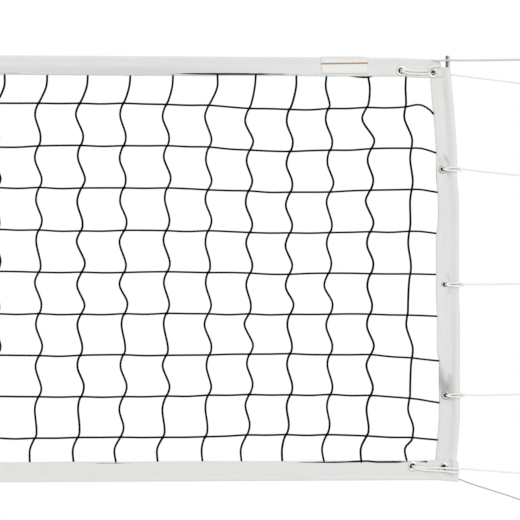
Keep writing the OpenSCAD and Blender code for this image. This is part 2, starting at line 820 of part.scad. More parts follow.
function column_x(i) = (i - half_columns + 0.5) * mesh_x;
function row_z(j) = net_top - first_row - (rows - 1 - j) * mesh_z;
function square_ring(x, z) =
    let (h = cord_t / 2) [[x - h, -h, z], [x + h, -h, z], [x + h, h, z], [x - h, h, z]];
function end_ring(x, z) =
    let (h = cord_t / 2) [[x, -h, z - h], [x, h, z - h], [x, h, z + h], [x, -h, z + h]];

// the height of a column's stretch s: below row s and above row s - 1
function stretch_low(s) = s == 0 ? net_floor : row_z(s - 1) + cord_t / 2;
function stretch_high(s) = s == rows ? net_ceiling : row_z(s) - cord_t / 2;
function swing_ring(i, s, m) =
    let (part = m == 0 ? 0.26 : 0.74, side = m == 0 ? 1 : -1)
    square_ring(column_x(i) + side * cord_swing, stretch_low(s) + part * (stretch_high(s) - stretch_low(s)));

knot_base = 0;
swing_base = 8 * columns * rows;
stub_base = swing_base + 8 * columns * (rows + 1);
side_base = stub_base + 8 * columns;

function knot_at(i, j) = knot_base + 8 * (i * rows + j);
function knot_low(i, j) = indices(knot_at(i, j), 4);
function knot_high(i, j) = indices(knot_at(i, j) + 4, 4);
function knot_left(i, j) = let (k = knot_at(i, j)) [k, k + 3, k + 7, k + 4];
function knot_right(i, j) = let (k = knot_at(i, j)) [k + 1, k + 2, k + 6, k + 5];
function swing_at(i, s, m) = indices(swing_base + 4 * (2 * (i * (rows + 1) + s) + m), 4);
function stub_at(i, e) = indices(stub_base + 4 * (2 * i + e), 4);
function side_at(j, e) = indices(side_base + 4 * (2 * j + e), 4);

function column_faces(i) = [
    for (s = [0:rows])
        let (
            first = s == 0 ? stub_at(i, 0) : knot_high(i, s - 1),
            last = s == rows ? stub_at(i, 1) : knot_low(i, s),
            a = swing_at(i, s, 0),
            b = swing_at(i, s, 1)
        )
        each concat(skin(first, a), skin(a, b), skin(b, last))
];

function row_faces(j) = [
    for (i = [0:columns])
        let (
            first = i == 0 ? side_at(j, 0) : knot_right(i - 1, j),
            last = i == columns ? side_at(j, 1) : knot_left(i, j)
        )
        each skin(first, last)
];

function knot_faces(i, j) =
    let (low = knot_low(i, j), high = knot_high(i, j))
    concat(side_faces(low, high, 4, 0), side_faces(low, high, 4, 2));

module netting() {
    h = cord_t / 2;
    points = concat(
        [for (i = [0:columns - 1], j = [0:rows - 1], s = [-1, 1])
            each square_ring(column_x(i), row_z(j) + s * h)],
        [for (i = [0:columns - 1], s = [0:rows], m = [0, 1]) each swing_ring(i, s, m)],
        [for (i = [0:columns - 1], e = [net_floor, net_ceiling]) each square_ring(column_x(i), e)],
        [for (j = [0:rows - 1], s = [-1, 1]) each end_ring(s * inner_half, row_z(j))]
    );
    faces = concat(
        [for (i = [0:columns - 1]) each column_faces(i)],
        [for (j = [0:rows - 1]) each row_faces(j)],
        [for (i = [0:columns - 1], j = [0:rows - 1]) each knot_faces(i, j)],
        [for (i = [0:columns - 1]) each [stub_at(i, 0), reversed(stub_at(i, 1))]],
        [for (j = [0:rows - 1]) each [side_at(j, 0), reversed(side_at(j, 1))]]
    );
    color("#17181a") polyhedron(points, faces);
}

// ---------- cables ----------

// the top cable: loop on the left pin, through the hem, over the sheave, down to the drum
front_y = -(dowel_r + top_cable_d / 2 + clear + 0.2);
drum_entry_x = winch_x - wind_r;
drum_entry_z = winch_z + sqrt(pow(wind_r + top_cable_d / 2 + 0.4, 2) - pow(wind_r - top_cable_d / 2, 2)) + 2;

function anchor_loop() = [
    for (a = [-90:-30:-270])
        [-anchor_x + loop_r * cos(a), 0, anchor_z + loop_r * sin(a)]
];
function dowel_pass(s) = [
    [s * (dowel_x - 26), 0, top_cable_z], [s * (dowel_x - 9), front_y, top_cable_z],
    [s * (dowel_x + 9), front_y, top_cable_z], [s * (dowel_x + 40), 0, top_cable_z]
];
function sheave_turn() = [
    for (a = [90:-10:0])
        [sheave_x + sheave_run_r * cos(a), 0, sheave_z + sheave_run_r * sin(a)]
];

function top_cable_path() = concat(
    [[-ferrule_near, 0, anchor_z - strand_z], [-ferrule_far, 0, anchor_z - strand_z]],
    anchor_loop(),
    [[-ferrule_far, 0, anchor_z + strand_z], [-ferrule_near, 0, anchor_z + strand_z]],
    reversed(dowel_pass(-1)),
    dowel_pass(1),
    sheave_turn(),
    [[sheave_x + sheave_run_r, 0, sheave_z - 8], [drum_entry_x, wind_y, drum_entry_z + 30],
     [drum_entry_x, wind_y, drum_entry_z]]
);

module top_cable() {
    color("#bebebe") tube(top_cable_path(), top_cable_d / 2, rope_sides, [0, 1, 0]);
}

module cable_ferrule() {
    wall = 1.6;
    strand_r = top_cable_d / 2;
    color("#a8aaac") translate([0, 0, anchor_z]) along_x(-ferrule_far + 3, -ferrule_near - 3) difference() {
        union() {
            for (s = [-1, 1]) translate([0, s * strand_z]) circle(strand_r + seat + wall);
            square([2 * (strand_r + wall), 2 * strand_z], center = true);
        }
        for (s = [-1, 1]) translate([0, s * strand_z]) circle(strand_r + seat);
    }
}

// half a turn and a little more round the wire of an eye, from the front to the back
function round_eye(r, z) = [
    for (a = [-105:30:105])
        [eye_wire_x + r * cos(a), r * sin(a), z]
];

// the bottom cable: an eye at each post, straight through the hem
wire_r = bottom_cable_d / 2;
wire_turn = eye_wire_r + wire_r + clear + 0.1;
wire_strand = wire_r + rope_gap;

function wire_eye(s) =
    let (z = bottom_cable_eye_z, crimp_far = eye_wire_x - 26, crimp_near = eye_wire_x - 14)
    [for (p = concat(
        [[crimp_far, wire_strand, z], [crimp_near, wire_strand, z]],
        reversed(round_eye(wire_turn, z)),
        [[crimp_near, -wire_strand, z], [crimp_far, -wire_strand, z]]
    )) [s * p[0], p[1], p[2]]];

function bottom_cable_path() = concat(
    wire_eye(-1),
    [[-net_half - 6, 0, bottom_cable_z], [net_half + 6, 0, bottom_cable_z]],
    reversed(wire_eye(1))
);

module bottom_cable() {
    color("#a8a8a8") union() {
        tube(bottom_cable_path(), wire_r);
        for (s = [-1, 1]) translate([s * (eye_wire_x - 20), 0, bottom_cable_eye_z])
            cube([8, 4 * wire_r + 3, 2 * wire_r + 2], center = true);
    }
}

// ---------- ropes, drawn for the right side ----------

// round the wire of an eye: from the standing part to the tail
function eye_turn(z) =
    let (turn = eye_wire_r + rope_r + clear + 0.1)
    concat(
        [[eye_knot_x, -strand_y, z], [eye_wire_x - 8, -turn * 0.85, z]],
        round_eye(turn, z),
        [[eye_wire_x - 8, turn * 0.85, z], [eye_knot_x, strand_y, z]]
    );

module rope_knot(x, y, z) {
    translate([x, y, z]) sphere(knot_r, $fn = 24);
}

// from behind the band through a side grommet and round the band's edge
function band_turn(x, z) = [
    [band_knot_x, strand_y, z], [band_knot_x - 6, rope_sleeve - 2.5, z], [dowel_x, rope_sleeve, z],
    [x + 11, rope_face + 1, z], [x + 3.6, rope_face + 0.1, z], [x + 0.5, 3.6, z], [x, 0, z],
    [x + 0.5, -3.6, z], [x + 3.6, -rope_face - 0.1, z], [x + 11, -rope_face - 1, z],
    [dowel_x, -rope_sleeve, z], [band_knot_x - 6, -rope_sleeve + 2.5, z], [band_knot_x, -strand_y, z]
];

module side_tie(z, eye_z) {
    color("#f2f2ee") union() {
        tube(concat(band_turn(net_half - side_grommet_inset, z), eye_turn(eye_z)), rope_r);
        rope_knot(band_knot_x, 0, z);
        rope_knot(eye_knot_x, 0, eye_z);
    }
}

// out of a corner grommet to the band's face, a little above or below its middle
function from_grommet(inset, z, rise) =
    let (x = net_half - inset)
    [[x, band_half_t + flange_t + knot_r - 2, z + rise], [x, 0, z + rise],
     [x + 1, -3.4, z + rise], [x + 5, -rope_face, z + rise]];

module top_lashing() {
    z = corner_top_z;
    turn_x = net_half - top_grommet_insets[0] + 90;
    second_x = net_half - top_grommet_insets[1];
    split = rope_r + rope_gap;
    color("#f2f2ee") union() {
        tube(concat(
            from_grommet(top_grommet_insets[0], z, -split),
            [[second_x - 4.5, -rope_face, z - split], [second_x - 0.5, -3.4, z - 2], [second_x, 0, z - 2],
             [second_x + 1, 3.4, z - 2], [second_x + 5, rope_face + 0.2, z - 2.4],
             [dowel_x - 16, rope_face + 1, z - 6], [dowel_x, rope_sleeve, z - 8],
             [band_knot_x, rope_sleeve - 3, z - 10]],
            eye_turn(top_lash_eye_z)
        ), rope_r);
        tube(concat(
            from_grommet(top_grommet_insets[0], z, split),
            [[second_x - 4, -rope_face - 0.2, z + split + 1], [turn_x, -rope_face - 0.5, z + 8]]
        ), rope_r);
        rope_knot(net_half - top_grommet_insets[0], band_half_t + flange_t + knot_r + clear, z);
        translate([turn_x, -band_half_t - flange_t - knot_r - clear, z + 8]) sphere(knot_r - 1, $fn = 24);
        rope_knot(eye_knot_x, 0, top_lash_eye_z);
    }
}

module bottom_lashing() {
    z = corner_bottom_z;
    split = rope_r + rope_gap;
    around = rope_sleeve + 0.3;
    second_x = net_half - bottom_grommet_insets[1];
    color("#f2f2ee") union() {
        tube(concat(
            from_grommet(bottom_grommet_insets[0], z, split),
            [[second_x, -rope_face - 0.4, z - 0.5], [dowel_x, -rope_sleeve, z - 3],
             [band_knot_x, -rope_sleeve + 3, z - 5]],
            eye_turn(bottom_lash_eye_z)
        ), rope_r);
        tube(concat(
            from_grommet(bottom_grommet_insets[0], z, -split),
            [[second_x, -rope_face - 0.4, z - 9], [dowel_x, -around, z - 12],
             [dowel_x + 7, 2.2 - around, z - 12.3],
             [net_half + rope_r + 1, -5, z - 12.5], [net_half + rope_r + 1, 5, z - 12.5],
             [dowel_x + 7, around - 2.2, z - 12.3], [dowel_x, around, z - 12],
             [second_x + 6, rope_face + 0.4, z - 5], [second_x, rope_face + 1, z]]
        ), rope_r);
        for (inset = bottom_grommet_insets)
            rope_knot(net_half - inset, band_half_t + flange_t + knot_r + clear, z);
        rope_knot(eye_knot_x, 0, bottom_lash_eye_z);
    }
}

// ---------- the nodes ----------

base_plate();  // base_plate_right
on_side(-1) base_plate();  // base_plate_left
outer_post();  // outer_post_right
on_side(-1) outer_post();  // outer_post_left
guide_collar();  // guide_collar_right
on_side(-1) guide_collar();  // guide_collar_left
height_knob();  // height_knob_right
on_side(-1) height_knob();  // height_knob_left
inner_post();  // inner_post_right
on_side(-1) inner_post();  // inner_post_left
glide_foot();  // glide_foot_right
on_side(-1) glide_foot();  // glide_foot_left
head(sheave_x, sheave_z, axle_r, cheek_r, post_x - cheek_neck, post_x + cheek_neck);  // pulley_head
on_side(-1)  // anchor_head
        head(
            anchor_x, anchor_z, anchor_r, anchor_cheek_r,
            anchor_x - anchor_cheek_r, anchor_x + anchor_cheek_r
        );
cross_pin(sheave_x, sheave_z, axle_r);  // sheave_axle
sheave();
on_side(-1) cross_pin(anchor_x, anchor_z, anchor_r);  // anchor_pin
eye_bolts();  // eye_bolts_right
on_side(-1) eye_bolts();  // eye_bolts_left
winch_frame();
winch_u_bolts();
drum_axle();
drum();
drum_gear();
drum_winding();
pinion();
crank_shaft();
brake_hub();
crank_arm();
grip_spindle();
crank_grip();
top_band();
bottom_band();
side_band();  // side_band_right
on_side(-1) side_band();  // side_band_left
dowel();  // dowel_right
on_side(-1) dowel();  // dowel_left
label_patch();
netting();
grommets();  // grommets_right
on_side(-1) grommets();  // grommets_left
top_cable();
cable_ferrule();
bottom_cable();
top_lashing();  // top_lashing_right
on_side(-1) top_lashing();  // top_lashing_left
bottom_lashing();  // bottom_lashing_right
on_side(-1) bottom_lashing();  // bottom_lashing_left
side_tie(upper_z, upper_eye_z);  // upper_tie_right
on_side(-1) side_tie(upper_z, upper_eye_z);  // upper_tie_left
side_tie(middle_z, middle_eye_z);  // middle_tie_right
on_side(-1) side_tie(middle_z, middle_eye_z);  // middle_tie_left
side_tie(lower_z, lower_eye_z);  // lower_tie_right
on_side(-1) side_tie(lower_z, lower_eye_z);  // lower_tie_left
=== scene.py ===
import math
import random

import bmesh
import bpy
import numpy as np
from mathutils import Matrix, Vector, noise


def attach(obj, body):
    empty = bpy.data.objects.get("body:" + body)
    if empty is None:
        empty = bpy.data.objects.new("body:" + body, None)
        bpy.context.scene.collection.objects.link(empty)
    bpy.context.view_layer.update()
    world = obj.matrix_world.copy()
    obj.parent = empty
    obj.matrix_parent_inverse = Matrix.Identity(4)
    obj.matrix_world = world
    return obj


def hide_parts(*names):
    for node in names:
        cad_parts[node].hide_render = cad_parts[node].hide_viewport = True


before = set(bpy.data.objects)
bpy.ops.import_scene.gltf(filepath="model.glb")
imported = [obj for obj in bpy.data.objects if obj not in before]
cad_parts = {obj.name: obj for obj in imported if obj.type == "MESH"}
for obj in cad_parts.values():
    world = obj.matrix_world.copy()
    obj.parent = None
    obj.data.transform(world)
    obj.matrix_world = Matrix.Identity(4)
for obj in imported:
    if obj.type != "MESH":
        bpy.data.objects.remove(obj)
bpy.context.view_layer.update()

scene = bpy.context.scene
fullTurn = 2 * math.pi


# small helpers

def smoothStep(low, high, value):
    t = min(1.0, max(0.0, (value - low) / (high - low)))
    return t * t * (3 - 2 * t)


def hump(value, centre, width):
    return math.exp(-((value - centre) / width) ** 2)


def linkMesh(name, points, faces, edges=()):
    mesh = bpy.data.meshes.new(name)
    mesh.from_pydata([tuple(p) for p in points], list(edges), faces)
    mesh.validate()
    mesh.update()
    piece = bpy.data.objects.new(name, mesh)
    scene.collection.objects.link(piece)
    return piece


def linkPaths(name, paths, closed=False):
    points, edges = [], []
    for path in paths:
        first = len(points)
        points += path
        edges += [(first + i, first + i + 1) for i in range(len(path) - 1)]
        if closed:
            edges.append((len(points) - 1, first))
    return linkMesh(name, points, [], edges)


def smoothPath(points, step):
    # a curve through every point, then rings at an even spacing
    points = [Vector(p) for p in points]
    dense = []
    for i in range(len(points) - 1):
        p1, p2 = points[i], points[i + 1]
        p0 = points[i - 1] if i else 2 * p1 - p2
        p3 = points[i + 2] if i + 2 < len(points) else 2 * p2 - p1
        t0, t1 = 0.0, max((p1 - p0).length, 1e-6) ** 0.5
        t2 = t1 + max((p2 - p1).length, 1e-6) ** 0.5
        t3 = t2 + max((p3 - p2).length, 1e-6) ** 0.5
        for k in range(12):
            t = t1 + (t2 - t1) * k / 12
            a1 = p0 * ((t1 - t) / (t1 - t0)) + p1 * ((t - t0) / (t1 - t0))
            a2 = p1 * ((t2 - t) / (t2 - t1)) + p2 * ((t - t1) / (t2 - t1))
            a3 = p2 * ((t3 - t) / (t3 - t2)) + p3 * ((t - t2) / (t3 - t2))
            b1 = a1 * ((t2 - t) / (t2 - t0)) + a2 * ((t - t0) / (t2 - t0))
            b2 = a2 * ((t3 - t) / (t3 - t1)) + a3 * ((t - t1) / (t3 - t1))
            dense.append(b1 * ((t2 - t) / (t2 - t1)) + b2 * ((t - t1) / (t2 - t1)))
    dense.append(points[-1])
    return evenPath(dense, step)


def evenPath(dense, step):
    lengths = [0.0]
    for i in range(1, len(dense)):
        lengths.append(lengths[-1] + (dense[i] - dense[i - 1]).length)
    count = max(2, int(round(lengths[-1] / step)))
    rings, j = [], 0
    for k in range(count + 1):
        want = lengths[-1] * k / count
        while j < len(lengths) - 2 and lengths[j + 1] < want:
            j += 1
        span = max(lengths[j + 1] - lengths[j], 1e-9)
        rings.append(dense[j].lerp(dense[j + 1], (want - lengths[j]) / span))
    return rings


# camera, light and floor

viewSetup = {
    "centreX": 4.380,       # what the middle of the picture shows, on the net
    "centreZ": 1.9387,
    "width": 1.2584,        # how much of the net the picture spans
    "distance": 4.0,
    "yaw": 2.0,             # degrees, the net's middle is a little nearer than its end
}


def makeCamera():
    turn = math.radians(viewSetup["yaw"])
    camera = bpy.data.cameras.new("viewCamera")
    camera.sensor_width = 36
    camera.lens = 36 * viewSetup["distance"] / viewSetup["width"]
    camera.clip_end = 200
    holder = bpy.data.objects.new("viewCamera", camera)
    holder.location = (
        viewSetup["centreX"] - viewSetup["distance"] * math.sin(turn),
        -viewSetup["distance"] * math.cos(turn),
        viewSetup["centreZ"],
    )
    holder.rotation_euler = (math.pi / 2, 0, -turn)
    scene.collection.objects.link(holder)
    scene.camera = holder


lightSetup = {
    "fill": 0.80,           # strength of the white surroundings on the object
    "key": 0.85,
    "keyTilt": (60, 0, 24),  # degrees, from the front and a little from the right
    "keySoftness": 40,
}


def makeLight():
    world = bpy.data.worlds.new("paleRoom")
    world.use_nodes = True
    tree = world.node_tree
    tree.nodes.clear()
    out = tree.nodes.new("ShaderNodeOutputWorld")
    rays = tree.nodes.new("ShaderNodeLightPath")
    seen = tree.nodes.new("ShaderNodeBackground")
    fill = tree.nodes.new("ShaderNodeBackground")
    seen.inputs["Color"].default_value = (1, 1, 1, 1)
    seen.inputs["Strength"].default_value = 1.0
    fill.inputs["Color"].default_value = (1, 1, 1, 1)
    fill.inputs["Strength"].default_value = lightSetup["fill"]
    either = tree.nodes.new("ShaderNodeMath")
    either.operation = "MAXIMUM"
    anyOf = tree.nodes.new("ShaderNodeMath")
    anyOf.operation = "MAXIMUM"
    mix = tree.nodes.new("ShaderNodeMixShader")
    tree.links.new(rays.outputs["Is Camera Ray"], either.inputs[0])
    tree.links.new(rays.outputs["Is Glossy Ray"], either.inputs[1])
    tree.links.new(either.outputs[0], anyOf.inputs[0])
    tree.links.new(rays.outputs["Is Transmission Ray"], anyOf.inputs[1])
    tree.links.new(anyOf.outputs[0], mix.inputs[0])
    tree.links.new(fill.outputs[0], mix.inputs[1])
    tree.links.new(seen.outputs[0], mix.inputs[2])
    tree.links.new(mix.outputs[0], out.inputs["Surface"])
    scene.world = world
    sun = bpy.data.lights.new("softKey", "SUN")
    sun.energy = lightSetup["key"]
    sun.angle = math.radians(lightSetup["keySoftness"])
    holder = bpy.data.objects.new("softKey", sun)
    holder.rotation_euler = [math.radians(a) for a in lightSetup["keyTilt"]]
    scene.collection.objects.link(holder)


def makeFloor():
    floor = linkMesh("paleFloor", [(-9, -3.6, 0), (9, -3.6, 0), (9, 3.6, 0), (-9, 3.6, 0)], [(0, 1, 2, 3)])
    material = bpy.data.materials.new("paleFloor")
    material.use_nodes = True
    shader = material.node_tree.nodes["Principled BSDF"]
    shader.inputs["Base Color"].default_value = (0.9, 0.9, 0.9, 1)
    shader.inputs["Roughness"].default_value = 0.9
    floor.data.materials.append(material)


makeCamera()
makeLight()
makeFloor()
scene.view_settings.view_transform = "Standard"
print("camera, light and floor are placed")


# shader groups

def startGroup(name, inputs, outputs):
    tree = bpy.data.node_groups.new(name, "ShaderNodeTree")
    for label, kind, value in inputs:
        socket = tree.interface.new_socket(label, in_out="INPUT", socket_type=kind)
        if value is not None:
            socket.default_value = value
    for label, kind in outputs:
        tree.interface.new_socket(label, in_out="OUTPUT", socket_type=kind)
    return tree, tree.nodes.new("NodeGroupInput"), tree.nodes.new("NodeGroupOutput")


def mathNode(tree, operation, a, b=None, clamp=False):
    node = tree.nodes.new("ShaderNodeMath")
    node.operation = operation
    node.use_clamp = clamp
    for slot, value in enumerate((a, b)):
        if value is None:
            continue
        if isinstance(value, (int, float)):
            node.inputs[slot].default_value = value
        else:
            tree.links.new(value, node.inputs[slot])
    return node.outputs[0]


def noiseNode(tree, vector, scale, detail=2.0, rough=0.5):
    node = tree.nodes.new("ShaderNodeTexNoise")
    node.inputs["Detail"].default_value = detail
    node.inputs["Roughness"].default_value = rough
    if isinstance(scale, (int, float)):
        node.inputs["Scale"].default_value = scale
    else:
        tree.links.new(scale, node.inputs["Scale"])
    tree.links.new(vector, node.inputs["Vector"])
    return node.outputs[0]


def rampNode(tree, value, low, high, darkest=0.0, lightest=1.0):
    node = tree.nodes.new("ShaderNodeMapRange")
    node.inputs["From Min"].default_value = low
    node.inputs["From Max"].default_value = high
    node.inputs["To Min"].default_value = darkest
    node.inputs["To Max"].default_value = lightest
    tree.links.new(value, node.inputs["Value"])
    return node.outputs[0]


def makeBraidGroup():
    # Flow holds the length along the cord and the cosine and sine of the angle round it
    tree, given, out = startGroup("cordBraid", [
        ("Flow", "NodeSocketVector", None), ("Strands", "NodeSocketFloat", 4.0),
        ("Pitch", "NodeSocketFloat", 0.01), ("Crossing", "NodeSocketFloat", 1.0)],
        [("Height", "NodeSocketFloat"), ("Shade", "NodeSocketFloat")])
    split = tree.nodes.new("ShaderNodeSeparateXYZ")
    tree.links.new(given.outputs["Flow"], split.inputs[0])
    angle = mathNode(tree, "ARCTAN2", split.outputs[2], split.outputs[1])
    around = mathNode(tree, "MULTIPLY", angle, given.outputs["Strands"])
    turns = mathNode(tree, "DIVIDE", split.outputs[0], given.outputs["Pitch"])
    along = mathNode(tree, "MULTIPLY", turns, fullTurn)
    left = mathNode(tree, "SINE", mathNode(tree, "ADD", around, along))
    right = mathNode(tree, "SINE", mathNode(tree, "SUBTRACT", around, along))
    kept = mathNode(tree, "MULTIPLY", right, given.outputs["Crossing"])
    lowered = mathNode(tree, "SUBTRACT", kept, mathNode(tree, "SUBTRACT", 1.0, given.outputs["Crossing"]))
    top = mathNode(tree, "MAXIMUM", left, lowered)
    tree.links.new(top, out.inputs["Height"])
    # Shade darkens the grooves between the strands: painted shade
    tree.links.new(rampNode(tree, top, -0.4, 1.0), out.inputs["Shade"])
    return tree


def makeWeaveGroup():
    # Cloth holds the length along the tape and the distance across it, in metres
    tree, given, out = startGroup("tapeWeave", [
        ("Cloth", "NodeSocketVector", None), ("Threads", "NodeSocketFloat", 900.0)],
        [("Height", "NodeSocketFloat"), ("Shade", "NodeSocketFloat"), ("Soiling", "NodeSocketFloat")])
    split = tree.nodes.new("ShaderNodeSeparateXYZ")
    tree.links.new(given.outputs["Cloth"], split.inputs[0])
    rate = mathNode(tree, "MULTIPLY", given.outputs["Threads"], fullTurn)
    warp = mathNode(tree, "SINE", mathNode(tree, "MULTIPLY", split.outputs[0], rate))
    weft = mathNode(tree, "SINE", mathNode(tree, "MULTIPLY", split.outputs[1], rate))
    weave = mathNode(tree, "MULTIPLY", warp, weft)
    stretch = tree.nodes.new("ShaderNodeMapping")
    stretch.inputs["Scale"].default_value = (0.12, 2.2, 1)
    tree.links.new(given.outputs["Cloth"], stretch.inputs["Vector"])
    streaks = noiseNode(tree, stretch.outputs[0], 120.0, 3.0)
    raised = mathNode(tree, "ADD", mathNode(tree, "MULTIPLY", weave, 0.35), streaks)
    tree.links.new(raised, out.inputs["Height"])
    tree.links.new(rampNode(tree, streaks, 0.3, 0.7), out.inputs["Shade"])
    clouds = noiseNode(tree, given.outputs["Cloth"], 9.0, 4.0, 0.6)
    tree.links.new(rampNode(tree, clouds, 0.42, 0.72), out.inputs["Soiling"])
    return tree


def makeMarksGroup():
    # fine grain, a brushed direction by Stretch, and soft patches for stains and wear
    tree, given, out = startGroup("handlingMarks", [
        ("Place", "NodeSocketVector", None), ("Stretch", "NodeSocketVector", None),
        ("Grain Scale", "NodeSocketFloat", 600.0), ("Patch Scale", "NodeSocketFloat", 18.0)],
        [("Grain", "NodeSocketFloat"), ("Patches", "NodeSocketFloat"), ("Scratches", "NodeSocketFloat")])
    scaled = tree.nodes.new("ShaderNodeVectorMath")
    scaled.operation = "MULTIPLY"
    tree.links.new(given.outputs["Place"], scaled.inputs[0])
    tree.links.new(given.outputs["Stretch"], scaled.inputs[1])
    grain = noiseNode(tree, scaled.outputs[0], given.outputs["Grain Scale"], 3.0, 0.6)
    patches = noiseNode(tree, given.outputs["Place"], given.outputs["Patch Scale"], 4.0, 0.6)
    lines = noiseNode(tree, scaled.outputs[0], 160.0, 5.0, 0.7)
    tree.links.new(grain, out.inputs["Grain"])
    tree.links.new(rampNode(tree, patches, 0.45, 0.7), out.inputs["Patches"])
    tree.links.new(rampNode(tree, lines, 0.62, 0.7), out.inputs["Scratches"])
    return tree


braidGroup = makeBraidGroup()
weaveGroup = makeWeaveGroup()
marksGroup = makeMarksGroup()


# materials

def startMaterial(name, finish):
    material = bpy.data.materials.new(name)
    material.use_nodes = True
    tree = material.node_tree
    shader = tree.nodes["Principled BSDF"]
    shader.inputs["Base Color"].default_value = (*finish["colour"], 1)
    shader.inputs["Roughness"].default_value = finish["rough"]
    shader.inputs["Metallic"].default_value = finish.get("metal", 0.0)
    shader.inputs["Specular IOR Level"].default_value = finish.get("specular", 0.5)
    shader.inputs["Sheen Weight"].default_value = finish.get("sheen", 0.0)
    shader.inputs["Sheen Roughness"].default_value = 0.5
    shader.inputs["Coat Weight"].default_value = finish.get("coat", 0.0)
    shader.inputs["Coat Roughness"].default_value = 0.25
    return material, tree, shader


def mixColour(tree, factor, first, second):
    node = tree.nodes.new("ShaderNodeMix")
    node.data_type = "RGBA"
    if isinstance(factor, (int, float)):
        node.inputs[0].default_value = factor
    else:
        tree.links.new(factor, node.inputs[0])
    for slot, value in ((6, first), (7, second)):
        if isinstance(value, tuple):
            node.inputs[slot].default_value = (*value, 1)
        else:
            tree.links.new(value, node.inputs[slot])
    return node.outputs[2]


def bumpInto(tree, shader, height, strength, distance):
    bump = tree.nodes.new("ShaderNodeBump")
    bump.inputs["Strength"].default_value = strength
    bump.inputs["Distance"].default_value = distance
    tree.links.new(height, bump.inputs["Height"])
    tree.links.new(bump.outputs[0], shader.inputs["Normal"])


def useGroup(tree, group, **values):
    node = tree.nodes.new("ShaderNodeGroup")
    node.node_tree = group
    for label, value in values.items():
        node.inputs[label.replace("_", " ")].default_value = value
    return node


def attributeNode(tree, name):
    node = tree.nodes.new("ShaderNodeAttribute")
    node.attribute_name = name
    return node.outputs["Vector"]


def shade(colour, factor):
    return tuple(c * factor for c in colour)


cordFinishes = {
    "netTwine": {"colour": (0.003, 0.003, 0.0035), "rough": 0.9, "specular": 0.08, "strands": 4.0,
                 "pitch": 0.0056, "crossing": 1.0, "grooveShade": 0.45, "relief": 0.0003},
    "whiteRope": {"colour": (0.94, 0.94, 0.93), "rough": 0.75, "sheen": 0.2, "strands": 4.0,
                  "pitch": 0.0068, "crossing": 1.0, "grooveShade": 0.88, "relief": 0.0003},
    "coatedCable": {"colour": (0.66, 0.665, 0.66), "rough": 0.34, "coat": 0.3, "strands": 6.0,
                    "pitch": 0.03, "crossing": 0.0, "grooveShade": 0.88, "relief": 0.00012},
    "wireRope": {"colour": (0.62, 0.63, 0.63), "rough": 0.36, "metal": 0.9, "strands": 6.0,
                 "pitch": 0.018, "crossing": 0.0, "grooveShade": 0.5, "relief": 0.0003},
}


def makeCordMaterial(name):
    finish = cordFinishes[name]
    material, tree, shader = startMaterial(name, finish)
    flow = attributeNode(tree, "flow")
    braid = useGroup(tree, braidGroup, Strands=finish["strands"], Pitch=finish["pitch"],
                     Crossing=finish["crossing"])
    tree.links.new(flow, braid.inputs["Flow"])
    worn = noiseNode(tree, flow, 14.0, 3.0)
    # the braid's grooves are painted darker: painted shade between the strands
    tone = mixColour(tree, braid.outputs["Shade"], shade(finish["colour"], finish["grooveShade"]), finish["colour"])
    tone = mixColour(tree, rampNode(tree, worn, 0.5, 0.75, 0.0, 0.35), tone, shade(finish["colour"], 0.85))
    tree.links.new(tone, shader.inputs["Base Color"])
    rough = rampNode(tree, worn, 0.3, 0.7, finish["rough"] - 0.06, finish["rough"] + 0.08)
    tree.links.new(rough, shader.inputs["Roughness"])
    bumpInto(tree, shader, braid.outputs["Height"], 0.7, finish["relief"])
    return material


tapeFinish = {
    "colour": (0.765, 0.765, 0.75),   # white coated cloth
    "darkened": (0.66, 0.655, 0.635),
    "dirtAndShadeTone": (0.36, 0.365, 0.345),    # dirt, and painted shade in the puckers where the ties pull
    "rough": 0.58,
    "sheen": 0.2,
    "threads": 700.0,
}


def makeTapeMaterial():
    material, tree, shader = startMaterial("whiteTape", tapeFinish)
    cloth = attributeNode(tree, "cloth")
    weave = useGroup(tree, weaveGroup, Threads=tapeFinish["threads"])
    tree.links.new(cloth, weave.inputs["Cloth"])
    light = mixColour(tree, weave.outputs["Shade"], shade(tapeFinish["colour"], 0.965), tapeFinish["colour"])
    stains = mathNode(tree, "MULTIPLY", weave.outputs["Soiling"], 0.22)
    aged = mixColour(tree, stains, light, tapeFinish["darkened"])
    # per point: noise streaks, plus painted shade in the side tapes' puckers and along their edges and on the
    # top tape's lower half
    grime = tree.nodes.new("ShaderNodeAttribute")
    grime.attribute_name = "grime"
    tone = mixColour(tree, grime.outputs["Fac"], aged, tapeFinish["dirtAndShadeTone"])
    tree.links.new(tone, shader.inputs["Base Color"])
    rough = rampNode(tree, weave.outputs["Soiling"], 0.0, 1.0, tapeFinish["rough"],
                     tapeFinish["rough"] + 0.14)
    tree.links.new(rough, shader.inputs["Roughness"])
    bumpInto(tree, shader, weave.outputs["Height"], 0.35, 0.0004)
    return material


labelFinish = {
    "colour": (0.82, 0.82, 0.8),
    "rough": 0.45,
    "stripe": (0.46, 0.2, 0.09),
    "stripeZ": 2.4149,      # middle of the woven stripe
    "stripeX": 4.5845,
    "stripeRise": 0.018,    # it rises a little towards the end
    "stripeHalf": 0.0018,
}


